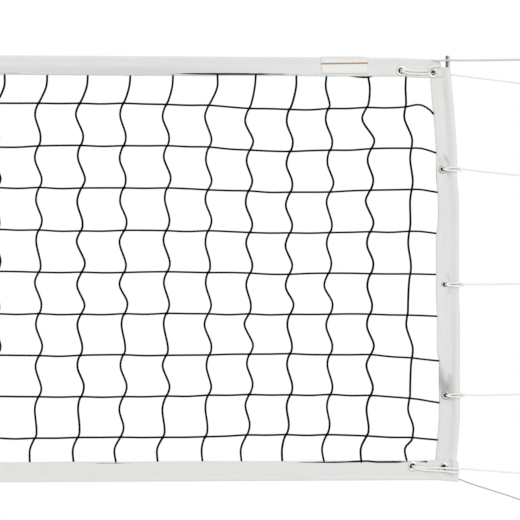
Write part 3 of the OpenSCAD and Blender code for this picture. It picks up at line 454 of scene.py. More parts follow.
def makeLabelMaterial():
    material, tree, shader = startMaterial("wovenPatch", labelFinish)
    place = tree.nodes.new("ShaderNodeTexCoord").outputs["Object"]
    split = tree.nodes.new("ShaderNodeSeparateXYZ")
    tree.links.new(place, split.inputs[0])
    along = mathNode(tree, "SUBTRACT", split.outputs[0], labelFinish["stripeX"])
    rise = mathNode(tree, "MULTIPLY", along, labelFinish["stripeRise"])
    level = mathNode(tree, "ADD", rise, labelFinish["stripeZ"])
    away = mathNode(tree, "ABSOLUTE", mathNode(tree, "SUBTRACT", split.outputs[2], level))
    ragged = noiseNode(tree, place, 900.0, 2.0)
    edge = mathNode(tree, "ADD", away, mathNode(tree, "MULTIPLY", ragged, 0.0009))
    stripe = rampNode(tree, edge, labelFinish["stripeHalf"], labelFinish["stripeHalf"] + 0.0009, 1.0, 0.0)
    tone = mixColour(tree, stripe, labelFinish["colour"], labelFinish["stripe"])
    tree.links.new(tone, shader.inputs["Base Color"])
    ribs = mathNode(tree, "SINE", mathNode(tree, "MULTIPLY", split.outputs[2], 7000.0))
    threads = mathNode(tree, "SINE", mathNode(tree, "MULTIPLY", split.outputs[0], 9000.0))
    bumpInto(tree, shader, mathNode(tree, "MULTIPLY", ribs, threads), 0.4, 0.0002)
    rough = rampNode(tree, ragged, 0.3, 0.7, 0.4, 0.55)
    tree.links.new(rough, shader.inputs["Roughness"])
    return material


hardFinishes = {
    # stretch: coordinates are multiplied by this, so a small number draws the grain out that way
    "agedNickel": {"colour": (0.5, 0.5, 0.48), "rough": 0.32, "metal": 1.0, "stretch": (1, 1, 1),
                   "grain": 300.0, "patch": 120.0, "worn": (0.16, 0.155, 0.14), "wear": 0.5,
                   "relief": 0.00005},
    "nickel": {"colour": (0.68, 0.675, 0.65), "rough": 0.24, "metal": 1.0, "stretch": (1, 1, 1),
               "grain": 900.0, "patch": 60.0, "worn": (0.34, 0.33, 0.3), "wear": 0.35, "relief": 0.00005},
    # fibreRod carries a second, paler colour for a painted highlight down its lit side
    "fibreRod": {"colour": (0.11, 0.115, 0.11), "rough": 0.38, "stretch": (1, 1, 0.03),
                 "paintedLitTone": (0.62, 0.62, 0.6), "grain": 700.0, "patch": 30.0,
                 "worn": (0.42, 0.43, 0.42), "wear": 0.4, "relief": 0.0001},
    "innerTube": {"colour": (0.57, 0.58, 0.59), "rough": 0.3, "metal": 1.0, "stretch": (1, 1, 0.02),
                  "grain": 500.0, "patch": 7.0, "worn": (0.6, 0.61, 0.62), "wear": 0.4, "relief": 0.00006},
    "outerTube": {"colour": (0.49, 0.5, 0.515), "rough": 0.36, "metal": 1.0, "stretch": (1, 1, 0.02),
                  "grain": 420.0, "patch": 8.0, "worn": (0.5, 0.505, 0.51), "wear": 0.5, "relief": 0.00008},
    "blackCoat": {"colour": (0.035, 0.037, 0.04), "rough": 0.46, "stretch": (1, 1, 1), "specular": 0.5,
                  "grain": 380.0, "patch": 14.0, "worn": (0.1, 0.1, 0.1), "wear": 0.35, "relief": 0.00025},
    "castHead": {"colour": (0.055, 0.058, 0.062), "rough": 0.5, "stretch": (1, 1, 1), "metal": 0.2,
                 "grain": 520.0, "patch": 22.0, "worn": (0.2, 0.2, 0.2), "wear": 0.3, "relief": 0.0003},
    "zincPlate": {"colour": (0.66, 0.67, 0.68), "rough": 0.3, "metal": 1.0, "stretch": (1, 1, 1),
                  "grain": 240.0, "patch": 40.0, "worn": (0.46, 0.45, 0.42), "wear": 0.5, "relief": 0.00008},
    "winchPlate": {"colour": (0.5, 0.51, 0.52), "rough": 0.37, "metal": 1.0, "stretch": (1, 1, 0.25),
                   "grain": 300.0, "patch": 28.0, "worn": (0.3, 0.29, 0.27), "wear": 0.55, "relief": 0.0001},
    "oiledGear": {"colour": (0.28, 0.285, 0.29), "rough": 0.27, "metal": 1.0, "stretch": (1, 0.1, 1),
                  "grain": 500.0, "patch": 55.0, "worn": (0.1, 0.09, 0.075), "wear": 0.7, "relief": 0.0001},
    "mouldedBlack": {"colour": (0.022, 0.022, 0.024), "rough": 0.56, "stretch": (1, 1, 1),
                     "grain": 1400.0, "patch": 24.0, "worn": (0.05, 0.05, 0.05), "wear": 0.4,
                     "relief": 0.0002},
    "turnedNylon": {"colour": (0.74, 0.735, 0.69), "rough": 0.4, "stretch": (0.3, 1, 0.3),
                    "grain": 900.0, "patch": 50.0, "worn": (0.5, 0.49, 0.45), "wear": 0.4, "relief": 0.00008},
    "stitchThread": {"colour": (0.86, 0.86, 0.84), "rough": 0.8, "stretch": (1, 1, 1), "sheen": 0.2,
                     "grain": 1500.0, "patch": 20.0, "worn": (0.7, 0.69, 0.66), "wear": 0.5,
                     "relief": 0.0001},
    "weldBead": {"colour": (0.05, 0.052, 0.056), "rough": 0.4, "stretch": (1, 1, 1), "specular": 0.5,
                 "grain": 300.0, "patch": 40.0, "worn": (0.1, 0.1, 0.1), "wear": 0.3, "relief": 0.0002},
}


def makeHardMaterial(name):
    finish = hardFinishes[name]
    material, tree, shader = startMaterial(name, finish)
    place = tree.nodes.new("ShaderNodeTexCoord").outputs["Object"]
    marks = useGroup(tree, marksGroup, Stretch=finish["stretch"], Grain_Scale=finish["grain"],
                     Patch_Scale=finish["patch"])
    tree.links.new(place, marks.inputs["Place"])
    fine = mixColour(tree, marks.outputs["Grain"], shade(finish["colour"], 0.9),
                     shade(finish["colour"], 1.06))
    worn = mathNode(tree, "MULTIPLY", marks.outputs["Patches"], finish["wear"])
    tone = mixColour(tree, worn, fine, finish["worn"])
    # painted highlight: the rod's side towards the key light is painted paler
    if "paintedLitTone" in finish:
        faded = tree.nodes.new("ShaderNodeAttribute")
        faded.attribute_name = "faded"
        tone = mixColour(tree, faded.outputs["Fac"], tone, finish["paintedLitTone"])
    scuffed = mathNode(tree, "MULTIPLY", marks.outputs["Scratches"], 0.25)
    tree.links.new(mixColour(tree, scuffed, tone, shade(finish["worn"], 1.2)), shader.inputs["Base Color"])
    base = rampNode(tree, marks.outputs["Grain"], 0.3, 0.7, finish["rough"] - 0.05, finish["rough"] + 0.07)
    stained = mathNode(tree, "MULTIPLY", marks.outputs["Patches"], 0.12)
    rough = mathNode(tree, "ADD", base, stained, clamp=True)
    tree.links.new(rough, shader.inputs["Roughness"])
    bumpInto(tree, shader, marks.outputs["Grain"], 0.4, finish["relief"])
    return material


materials = {name: makeCordMaterial(name) for name in cordFinishes}
materials.update({name: makeHardMaterial(name) for name in hardFinishes})
materials["whiteTape"] = makeTapeMaterial()
materials["wovenPatch"] = makeLabelMaterial()
print("materials made:", len(materials))


# geometry node trees

def startTree(name, inputs):
    tree = bpy.data.node_groups.new(name, "GeometryNodeTree")
    tree.interface.new_socket("Geometry", in_out="INPUT", socket_type="NodeSocketGeometry")
    for label, kind, value in inputs:
        socket = tree.interface.new_socket(label, in_out="INPUT", socket_type=kind)
        if value is not None:
            socket.default_value = value
    tree.interface.new_socket("Material", in_out="INPUT", socket_type="NodeSocketMaterial")
    tree.interface.new_socket("Geometry", in_out="OUTPUT", socket_type="NodeSocketGeometry")
    return tree, tree.nodes.new("NodeGroupInput"), tree.nodes.new("NodeGroupOutput")


def joinTo(tree, source, target, socket=0):
    tree.links.new(source, target.inputs[socket])
    return target.outputs[0]


def endTree(tree, given, out, geometry):
    solid = joinTo(tree, geometry, tree.nodes.new("GeometryNodeRealizeInstances"))
    smooth = joinTo(tree, solid, tree.nodes.new("GeometryNodeSetShadeSmooth"))
    painted = tree.nodes.new("GeometryNodeSetMaterial")
    tree.links.new(smooth, painted.inputs["Geometry"])
    tree.links.new(given.outputs["Material"], painted.inputs["Material"])
    tree.links.new(painted.outputs[0], out.inputs[0])
    return tree


def runTree(name, source, tree, values):
    modifier = source.modifiers.new(tree.name, "NODES")
    modifier.node_group = tree
    for item in tree.interface.items_tree:
        if item.item_type == "SOCKET" and item.in_out == "INPUT" and item.name in values:
            modifier[item.identifier] = values[item.name]
    bpy.context.view_layer.update()
    made = source.evaluated_get(bpy.context.evaluated_depsgraph_get())
    mesh = bpy.data.meshes.new_from_object(made)
    piece = bpy.data.objects.new(name, mesh)
    scene.collection.objects.link(piece)
    bpy.data.objects.remove(source)
    return piece


def capture(tree, geometry, field, label):
    node = tree.nodes.new("GeometryNodeCaptureAttribute")
    node.domain = "POINT"
    node.capture_items.new("FLOAT", label)
    tree.links.new(geometry, node.inputs[0])
    tree.links.new(field, node.inputs[1])
    return node.outputs[0], node.outputs[1]


def makeSweepTree():
    # a round cord along every line of the mesh, with its flow for the braid
    tree, given, out = startTree("cordSweep", [
        ("Radius", "NodeSocketFloat", 0.002), ("Sides", "NodeSocketInt", 8)])
    line = joinTo(tree, given.outputs["Geometry"], tree.nodes.new("GeometryNodeMeshToCurve"))
    even = tree.nodes.new("GeometryNodeSetCurveRadius")
    even.inputs["Radius"].default_value = 1.0
    line = joinTo(tree, line, even)
    spline = tree.nodes.new("GeometryNodeSplineParameter")
    line, along = capture(tree, line, spline.outputs["Length"], "Along")
    ring = tree.nodes.new("GeometryNodeCurvePrimitiveCircle")
    tree.links.new(given.outputs["Sides"], ring.inputs["Resolution"])
    tree.links.new(given.outputs["Radius"], ring.inputs["Radius"])
    turn = tree.nodes.new("GeometryNodeSplineParameter")
    profile, around = capture(tree, ring.outputs[0], turn.outputs["Factor"], "Around")
    sweep = tree.nodes.new("GeometryNodeCurveToMesh")
    tree.links.new(line, sweep.inputs["Curve"])
    tree.links.new(profile, sweep.inputs["Profile Curve"])
    sweep.inputs["Fill Caps"].default_value = True
    angle = mathNode(tree, "MULTIPLY", around, fullTurn)
    flow = tree.nodes.new("ShaderNodeCombineXYZ")
    tree.links.new(along, flow.inputs[0])
    tree.links.new(mathNode(tree, "COSINE", angle), flow.inputs[1])
    tree.links.new(mathNode(tree, "SINE", angle), flow.inputs[2])
    store = tree.nodes.new("GeometryNodeStoreNamedAttribute")
    store.data_type = "FLOAT_VECTOR"
    store.domain = "POINT"
    store.inputs["Name"].default_value = "flow"
    tree.links.new(sweep.outputs[0], store.inputs["Geometry"])
    tree.links.new(flow.outputs[0], store.inputs["Value"])
    return endTree(tree, given, out, store.outputs[0])


def makeScatterTree():
    # one copy of a small shape on every point, turned and scaled a little by a fixed seed
    tree, given, out = startTree("knotScatter", [
        ("Shape", "NodeSocketObject", None), ("Seed", "NodeSocketInt", 7),
        ("Turn", "NodeSocketFloat", fullTurn), ("Smallest", "NodeSocketFloat", 0.92),
        ("Largest", "NodeSocketFloat", 1.1)])
    shape = tree.nodes.new("GeometryNodeObjectInfo")
    tree.links.new(given.outputs["Shape"], shape.inputs["Object"])
    place = tree.nodes.new("GeometryNodeInstanceOnPoints")
    tree.links.new(given.outputs["Geometry"], place.inputs["Points"])
    tree.links.new(shape.outputs["Geometry"], place.inputs["Instance"])
    turn = tree.nodes.new("FunctionNodeRandomValue")
    turn.data_type = "FLOAT"
    turn.inputs[2].default_value = 0.0
    tree.links.new(given.outputs["Turn"], turn.inputs[3])
    tree.links.new(given.outputs["Seed"], turn.inputs["Seed"])
    spin = tree.nodes.new("ShaderNodeCombineXYZ")
    tree.links.new(turn.outputs[1], spin.inputs[1])
    tree.links.new(spin.outputs[0], place.inputs["Rotation"])
    size = tree.nodes.new("FunctionNodeRandomValue")
    size.data_type = "FLOAT"
    tree.links.new(given.outputs["Smallest"], size.inputs[2])
    tree.links.new(given.outputs["Largest"], size.inputs[3])
    tree.links.new(given.outputs["Seed"], size.inputs["Seed"])
    tree.links.new(size.outputs[1], place.inputs["Scale"])
    return endTree(tree, given, out, place.outputs[0])


def makeStitchTree():
    # stitches at an even spacing along every line of the mesh
    tree, given, out = startTree("stitchRun", [
        ("Shape", "NodeSocketObject", None), ("Spacing", "NodeSocketFloat", 0.006)])
    line = joinTo(tree, given.outputs["Geometry"], tree.nodes.new("GeometryNodeMeshToCurve"))
    points = tree.nodes.new("GeometryNodeCurveToPoints")
    points.mode = "LENGTH"
    tree.links.new(line, points.inputs["Curve"])
    tree.links.new(given.outputs["Spacing"], points.inputs["Length"])
    shape = tree.nodes.new("GeometryNodeObjectInfo")
    tree.links.new(given.outputs["Shape"], shape.inputs["Object"])
    place = tree.nodes.new("GeometryNodeInstanceOnPoints")
    tree.links.new(points.outputs["Points"], place.inputs["Points"])
    tree.links.new(points.outputs["Rotation"], place.inputs["Rotation"])
    tree.links.new(shape.outputs["Geometry"], place.inputs["Instance"])
    return endTree(tree, given, out, place.outputs[0])


def ovalRing(tree, radius, wide, deep, shift):
    # a ring of oval section, its axis along Z
    circle = tree.nodes.new("GeometryNodeCurvePrimitiveCircle")
    circle.inputs["Resolution"].default_value = 40
    tree.links.new(radius, circle.inputs["Radius"])
    even = tree.nodes.new("GeometryNodeSetCurveRadius")
    even.inputs["Radius"].default_value = 1.0
    line = joinTo(tree, circle.outputs[0], even)
    section = tree.nodes.new("GeometryNodeCurvePrimitiveCircle")
    section.inputs["Resolution"].default_value = 12
    section.inputs["Radius"].default_value = 1.0
    size = tree.nodes.new("ShaderNodeCombineXYZ")
    tree.links.new(wide, size.inputs[0])
    tree.links.new(deep, size.inputs[1])
    size.inputs[2].default_value = 1.0
    flat = tree.nodes.new("GeometryNodeTransform")
    tree.links.new(section.outputs[0], flat.inputs["Geometry"])
    tree.links.new(size.outputs[0], flat.inputs["Scale"])
    sweep = tree.nodes.new("GeometryNodeCurveToMesh")
    tree.links.new(line, sweep.inputs["Curve"])
    tree.links.new(flat.outputs[0], sweep.inputs["Profile Curve"])
    lift = tree.nodes.new("ShaderNodeCombineXYZ")
    if not isinstance(shift, float):
        tree.links.new(shift, lift.inputs[2])
    moved = tree.nodes.new("GeometryNodeTransform")
    tree.links.new(sweep.outputs[0], moved.inputs["Geometry"])
    tree.links.new(lift.outputs[0], moved.inputs["Translation"])
    return moved.outputs[0]


def makeGrommetTree():
    # two rolled flanges and the barrel between them, on every point, facing along Y
    tree, given, out = startTree("rolledGrommet", [
        ("Hole", "NodeSocketFloat", 0.007), ("Outer", "NodeSocketFloat", 0.012),
        ("Face", "NodeSocketFloat", 0.0031), ("Flange", "NodeSocketFloat", 0.0007)])
    hole, outer = given.outputs["Hole"], given.outputs["Outer"]
    middle = mathNode(tree, "MULTIPLY", mathNode(tree, "ADD", hole, outer), 0.5)
    half = mathNode(tree, "MULTIPLY", mathNode(tree, "SUBTRACT", outer, hole), 0.5)
    back = mathNode(tree, "MULTIPLY", given.outputs["Face"], -1.0)
    wall = mathNode(tree, "ADD", hole, 0.0004)
    thin = mathNode(tree, "MULTIPLY", given.outputs["Flange"], 0.6)
    rings = tree.nodes.new("GeometryNodeJoinGeometry")
    for ring in (
        ovalRing(tree, middle, half, given.outputs["Flange"], given.outputs["Face"]),
        ovalRing(tree, middle, half, given.outputs["Flange"], back),
        ovalRing(tree, wall, thin, given.outputs["Face"], 0.0),
    ):
        tree.links.new(ring, rings.inputs[0])
    upright = tree.nodes.new("GeometryNodeTransform")
    upright.inputs["Rotation"].default_value = (math.pi / 2, 0, 0)
    tree.links.new(rings.outputs[0], upright.inputs["Geometry"])
    place = tree.nodes.new("GeometryNodeInstanceOnPoints")
    tree.links.new(given.outputs["Geometry"], place.inputs["Points"])
    tree.links.new(upright.outputs[0], place.inputs["Instance"])
    return endTree(tree, given, out, place.outputs[0])


sweepTree = makeSweepTree()
scatterTree = makeScatterTree()
stitchTree = makeStitchTree()
grommetTree = makeGrommetTree()


def sweepCord(name, paths, radius, sides, material, closed=False):
    return runTree(name, linkPaths(name + "Lines", paths, closed), sweepTree,
                   {"Radius": radius, "Sides": sides, "Material": materials[material]})


def knotPath(scale, depth, count):
    # a small closed knot, flattened to the net's plane
    path = []
    for i in range(count):
        t = fullTurn * i / count
        path.append(Vector((
            scale * (math.sin(t) + 2 * math.sin(2 * t)),
            depth * -math.sin(3 * t),
            scale * (math.cos(t) - 2 * math.cos(2 * t)),
        )))
    return path


# how the end of the net hangs

netShape = {
    "half": 4.865,          # end of the net
    "inner": 4.815,         # inner edge of the side tapes
    "top": 2.43,
    "bottom": 1.404,
    "ceiling": 2.384,       # lower edge of the top tape
    "floor": 1.452,         # upper edge of the bottom tape
    "dowelX": 4.857,
    "topEnd": 4.824,        # where the top tape stops
    "bowTop": 0.0205,       # how far the end bows inwards at its top
    "bowTie": 0.0032,       # and where the upper tie pulls
    "bowLow": 0.0082,
    "lean": 0.0024,         # the lower half stands a little further out
}


def endBow(z):
    bow = netShape["lean"] * (1 - smoothStep(1.79, 1.86, z))
    if z > 2.08:
        bow -= netShape["bowTop"] * min(1.0, (z - 2.08) / 0.319) ** 1.5
    bow -= netShape["bowTie"] * hump(z, 2.142, 0.036)
    if z < 1.556:
        bow -= netShape["bowLow"] * min(1.0, (1.556 - z) / 0.1) ** 1.15
    return bow


def bowShare(x):
    return smoothStep(4.785, 4.812, x) * (1 - smoothStep(4.875, 4.99, x))


def bowed(p):
    x, y, z = p
    side = 1 if x > 0 else -1
    return Vector((x + side * endBow(z) * bowShare(abs(x)), y, z))


def tapeDroop(x):
    # the top tape's end hangs a little lower than its cable's line
    return -0.0032 * smoothStep(4.70, 4.80, abs(x)) + 0.0012 * math.sin(2.1 * x)


# white tapes

tapeShape = {
    "cloth": 0.0011,        # one layer
    "half": 0.0025,         # folded tape, to one face
    "topHem": 0.0042,
    "bottomHem": 0.0032,
    "sleeve": 0.007,
    "side": 0.00125,        # side tape, to one face
    "topWidth": 0.046, "bottomWidth": 0.048, "sideWidth": 0.049,
    "topBlend": 0.013, "bottomBlend": 0.012, "sideBlend": 0.017,
    "fineStep": 0.005,
    "coarseStep": 0.014,
    "wave": 0.0015,
}
grommetShape = {
    "top": ((4.7225, 2.3975), (4.8005, 2.393)),
    "bottom": ((4.7507, 1.4375), (4.8265, 1.4345)),
    "sideX": 4.829, "sideZ": (2.159, 1.879, 1.61),
    "cornerHole": 0.007, "cornerOuter": 0.012,
    "sideHole": 0.005, "sideOuter": 0.01,
}
cornerSpots = grommetShape["top"] + grommetShape["bottom"]
sideSpots = [(grommetShape["sideX"] + endBow(z), z) for z in grommetShape["sideZ"]]


def calmNear(x, z):
    # the cloth lies flat round its grommets
    near = min(math.hypot(abs(x) - gx, z - gz) for gx, gz in list(cornerSpots) + sideSpots)
    return smoothStep(0.011, 0.05, near)


def softNoise(x, y, z):
    return noise.noise(Vector((x, y, z)))


folds = {
    "top": (tapeShape["topWidth"], tapeShape["topHem"], tapeShape["half"], tapeShape["topBlend"]),
    "bottom": (tapeShape["bottomWidth"], tapeShape["bottomHem"], tapeShape["half"], tapeShape["bottomBlend"]),
    "side": (tapeShape["sideWidth"], tapeShape["sleeve"], tapeShape["side"], tapeShape["sideBlend"]),
}


def foldHalf(kind, u):
    # half the tape's thickness at a distance from its open edge, swelling softly to the hem
    width, hem, half, blend = folds[kind]
    centre = width - hem
    return half + (hem - half) * smoothStep(centre - blend, centre, u)


def foldSection(kind):
    # across the tape from its open edge to the fold and back: the outer face, then the inner one
    width, hem, half = folds[kind][:3]
    cloth = min(tapeShape["cloth"], half - 0.0001)
    centre = width - hem
    face = [centre * i / 16 for i in range(16)]
    arc = [math.radians(-90 + 180 * i / 12) for i in range(13)]
    outer = [(u, -foldHalf(kind, u)) for u in face]
    outer += [(centre + hem * math.cos(a), hem * math.sin(a)) for a in arc]
    outer += [(u, foldHalf(kind, u)) for u in face[::-1]]
    inner = [(u, -(foldHalf(kind, u) - cloth)) for u in face]
    inner += [(centre + (hem - cloth) * math.cos(a), (hem - cloth) * math.sin(a)) for a in arc]
    inner += [(u, foldHalf(kind, u) - cloth) for u in face[::-1]]
    return outer + inner[::-1], len(outer)


def loftTape(name, stations, section, split, placed, grime):
    ring = len(section)
    points, cloth, darkened, faces = [], [], [], []
    for s in stations:
        for u, v in section:
            points.append(placed(s, u, v))
            cloth.append((s, u if v < 0 else 0.2 - u, 0.0))
            # streaks and painted shade, half as much on the back face
            darkened.append(grime(s, u) if v < 0 else 0.5 * grime(s, u))
    for i in range(len(stations) - 1):
        for k in range(ring):
            a, b = i * ring + k, i * ring + (k + 1) % ring
            faces.append((a, a + ring, b + ring, b))
    last = (len(stations) - 1) * ring
    for k in range(split - 1):
        a, b = k, k + 1
        c, d = ring - 1 - b, ring - 1 - a
        faces.append((a, b, c, d))
        faces.append((last + a, last + d, last + c, last + b))
    piece = linkMesh(name, points, faces)
    store = piece.data.attributes.new("cloth", "FLOAT_VECTOR", "POINT")
    store.data.foreach_set("vector", np.array(cloth, np.float32).ravel())
    store = piece.data.attributes.new("grime", "FLOAT", "POINT")
    store.data.foreach_set("value", np.array(darkened, np.float32))
    piece.data.shade_smooth()
    piece.data.materials.append(materials["whiteTape"])
    fixNormals(piece.data)
    return piece


def fixNormals(mesh):
    work = bmesh.new()
    work.from_mesh(mesh)
    bmesh.ops.recalc_face_normals(work, faces=work.faces)
    work.to_mesh(mesh)
    work.free()


def punchHoles(piece, spots, radius):
    # real holes through the cloth, hidden under the flanges
    work = bmesh.new()
    upright = Matrix.Rotation(math.pi / 2, 3, "X")
    for x, z in spots:
        made = bmesh.ops.create_cone(work, cap_ends=True, segments=32, radius1=radius, radius2=radius,
                                     depth=0.04)
        bmesh.ops.rotate(work, verts=made["verts"], cent=(0, 0, 0), matrix=upright)
        bmesh.ops.translate(work, verts=made["verts"], vec=(x, 0, z))
    mesh = bpy.data.meshes.new("punch")
    work.to_mesh(mesh)
    work.free()
    punch = bpy.data.objects.new("punch", mesh)
    scene.collection.objects.link(punch)
    cut = piece.modifiers.new("holes", "BOOLEAN")
    cut.operation = "DIFFERENCE"
    cut.solver = "EXACT"
    cut.object = punch
    bpy.context.view_layer.update()
    made = bpy.data.meshes.new_from_object(piece.evaluated_get(bpy.context.evaluated_depsgraph_get()))
    name = piece.name
    bpy.data.objects.remove(piece)
    bpy.data.objects.remove(punch)
    cutPiece = bpy.data.objects.new(name, made)
    scene.collection.objects.link(cutPiece)
    return cutPiece


def spread(low, high, fine, coarse, marks=()):
    # stations along a tape, closer where the marks ask for it
    stations, s = [], low
    while s < high - 1e-6:
        stations.append(s)
        near = any(a <= s <= b for a, b in marks)
        s += fine if near else coarse
    stations.append(high)
    return stations


def topWave(x, u):
    loose = 1 - u / tapeShape["topWidth"]
    wave = 0.55 * math.sin(4.3 * x + 1.1) + 0.45 * math.sin(11.9 * x + 0.4) * loose
    wave += 0.8 * softNoise(x * 5.5, u * 16, 1.7) * (0.4 + 0.6 * loose)
    return tapeShape["wave"] * wave


def placeTopTape(x, u, v):
    side, away = math.copysign(1, x), abs(x)
    z0 = netShape["ceiling"] + 0.0012 * softNoise(x * 9, 0.3, 4.1) - 0.0016 * hump(away, 4.77, 0.03)
    width = tapeShape["topWidth"]
    z = z0 + u * (netShape["top"] - z0) / width + tapeDroop(x) * (0.35 + 0.65 * u / width)
    z -= 0.0062 * smoothStep(4.803, 4.824, away) * smoothStep(0.026, 0.046, u)
    z += 0.0026 * (smoothStep(4.515, 4.54, away) - smoothStep(4.625, 4.65, away)) * smoothStep(0.02, 0.046, u)
    calm = calmNear(x, z) * (1 - smoothStep(4.80, 4.824, away) * 0.6)
    y = v + calm * topWave(x, u)
    y += math.copysign(1, v) * 0.0003 * softNoise(x * 38, u * 70, 9 if v > 0 else 2) * calm
    x -= side * (0.001 + 0.0052 * u / width) * smoothStep(4.80, 4.824, away)
    return Vector((x, y, z))


def topShade(x, u):
    # painted shade along the lower half, less of it towards the end
    lower = 1 - smoothStep(0.012, 0.03, u)
    return 0.24 * lower * (1 - smoothStep(4.05, 4.5, abs(x))) * (0.9 + 0.5 * softNoise(x * 3, 0.1, 8.8))


def bottomWave(x, u):
    loose = 1 - u / tapeShape["bottomWidth"]
    wave = 0.6 * math.sin(3.9 * x + 2.0) + 0.5 * math.sin(9.3 * x + 1.9) * loose
    wave += 0.8 * softNoise(x * 6, u * 15, 5.2)
    return tapeShape["wave"] * wave


def placeBottomTape(x, u, v):
    away, width = abs(x), tapeShape["bottomWidth"]
    flap = smoothStep(4.853, 4.865, away)
    z = netShape["floor"] + 0.0012 * softNoise(x * 8, 1.2, 6.6) * (1 - u / width) - u
    z -= 0.0042 * smoothStep(4.80, 4.868, away) * u / width + 0.0068 * flap * (1 - u / width) ** 2
    calm = calmNear(x, z)
    beside = abs(away - netShape["dowelX"] - endBow(z))
    bulge = math.sqrt(max(0.0, 0.0072 ** 2 - beside ** 2)) if u < 0.04 else 0.0
    lift = max(0.0, bulge - tapeShape["half"]) * (1 - smoothStep(0.032, 0.04, u))
    y = v + math.copysign(lift, v) + calm * bottomWave(x, u) * (1 - smoothStep(4.83, 4.85, away))
    crease = hump((x - 4.803) * 0.8 + (z - 1.4135) * 0.6, 0, 0.0017) * hump(z, 1.4135, 0.011)
    y += (0.0014 * crease if v < 0 else 0.0)
    y += math.copysign(1, v) * 0.0003 * softNoise(x * 40, u * 66, 3 if v > 0 else 8) * calm
    return Vector((x, y, z))


def bottomGrime(x, u):
    return 0.03 * (1 + softNoise(x * 4, u * 20, 2.8))


sidePulls = {   # how the cloth puckers round a tie: along X, along Z, depth, half width, half length, slant
    2.159: [(0.0095, 0.0235, 0.0042, 0.0038, 0.0120, -0.42), (-0.003, 0.020, 0.0014, 0.0075, 0.012, -0.1),
            (0.0125, -0.0105, 0.0024, 0.003, 0.006, -0.5), (0.007, -0.026, 0.0007, 0.004, 0.014, 0.3)],
    1.879: [(0.0085, 0.0185, 0.0022, 0.0036, 0.010, -0.4), (0.0105, -0.0135, 0.0018, 0.0034, 0.010, 0.35)],
    1.61: [(0.0025, 0.0195, 0.0046, 0.0125, 0.0185, 0.0), (-0.0105, 0.042, 0.0042, 0.006, 0.027, -0.1),
           (0.0095, 0.043, 0.0020, 0.003, 0.009, -0.35), (0.0085, -0.0085, 0.0014, 0.004, 0.006, 0.4)],
}


def pullDepth(x, z):
    # the ties pull at the grommets and pucker the cloth above and below them
    depth = 0.0
    for height, pulls in sidePulls.items():
        if abs(z - height) > 0.1:
            continue
        gx = grommetShape["sideX"] + endBow(height)
        for dx, dz, deep, wide, reach, slant in pulls:
            across = (x - gx - dx) - slant * (z - height - dz)
            depth += deep * hump(across, 0, wide) * hump(z, height + dz, reach)
    return depth


def sideEdge(z):
    # the inner edge wanders: the tape is a little wider in the middle of its height
    return -0.0026 - 0.0048 * smoothStep(1.69, 1.72, z) * (1 - smoothStep(1.99, 2.04, z))


def placeSideTape(side):
    def placed(z, u, v):
        inward = 1 - smoothStep(0.0, 0.02, u)
        x = netShape["inner"] + u + endBow(z) + inward * sideEdge(z)
        x += inward * 0.0007 * softNoise(z * 14, side * 2.0, 0.5)
        calm = min(smoothStep(1.452, 1.49, z), 1 - smoothStep(2.35, 2.384, z))
        flat = 1 - smoothStep(0.026, 0.034, u)
        y = v + calm * flat * 0.0011 * (math.sin(8.3 * z + side) + softNoise(z * 7, u * 18, 2.2))
        y += pullDepth(x, z) * flat * calmNear(x, z) * (1 if v < 0 else 0.7)
        y += 0.0004 * flat * softNoise(z * 3, u * 150, 4.4)
        y += math.copysign(1, v) * 0.0003 * softNoise(z * 44, u * 60, 3 if v > 0 else 7)
        return Vector((side * x, y, z))
    return placed


def sideDirtAndShade(z, u):
    # painted shade in the puckers round the ties, and a painted shadow along the inner edge near the upper
    # and lower ties; the noise streaks are darker towards the bottom
    x = netShape["inner"] + u + endBow(z)
    puckerShade = min(1.0, pullDepth(x, z) / 0.0044) * (1 - smoothStep(0.029, 0.0335, u))
    streak = max(0.0, 0.35 + 0.8 * softNoise(z * 3.1, u * 95, 6.1)) * (1 - smoothStep(0.032, 0.038, u))
    low = 0.05 + 0.11 * (1 - smoothStep(1.7, 1.95, z))
    edge = (hump(z, 2.148, 0.024) + hump(z, 1.665, 0.04)) * (1 - smoothStep(0.0006, 0.0024, u))
    return min(0.9, low * streak + (0.85 if z < 1.75 else 0.72) * puckerShade + 0.6 * edge)


def declareTape(piece, node, extras):
    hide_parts(node)
    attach(piece, "net_frame")
    for extra in extras:
        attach(extra, "net_frame")


def makeStitchShape():
    half, thick = 0.0019, 0.00042
    points = [(0, 0, -half)]
    for z in (-half * 0.55, half * 0.55):
        points += [(thick * math.cos(a * fullTurn / 4), thick * math.sin(a * fullTurn / 4), z)
                   for a in range(4)]
    points.append((0, 0, half))
    faces = []
    for k in range(4):
        n = (k + 1) % 4
        faces += [(0, 1 + n, 1 + k), (1 + k, 1 + n, 5 + n, 5 + k), (9, 5 + k, 5 + n)]
    return linkMesh("stitchShape", points, faces)


stitchSetup = {"spacing": 0.0062, "proud": 0.00012}
stitchShape = makeStitchShape()


def sewTape(name, lines):
    return runTree(name, linkPaths(name + "Lines", lines), stitchTree, {
        "Shape": stitchShape, "Spacing": stitchSetup["spacing"],
        "Material": materials["stitchThread"]})


def seamLine(kind, placed, stations, u, face):
    return [placed(s, u, face * (foldHalf(kind, u) + stitchSetup["proud"])) for s in stations]


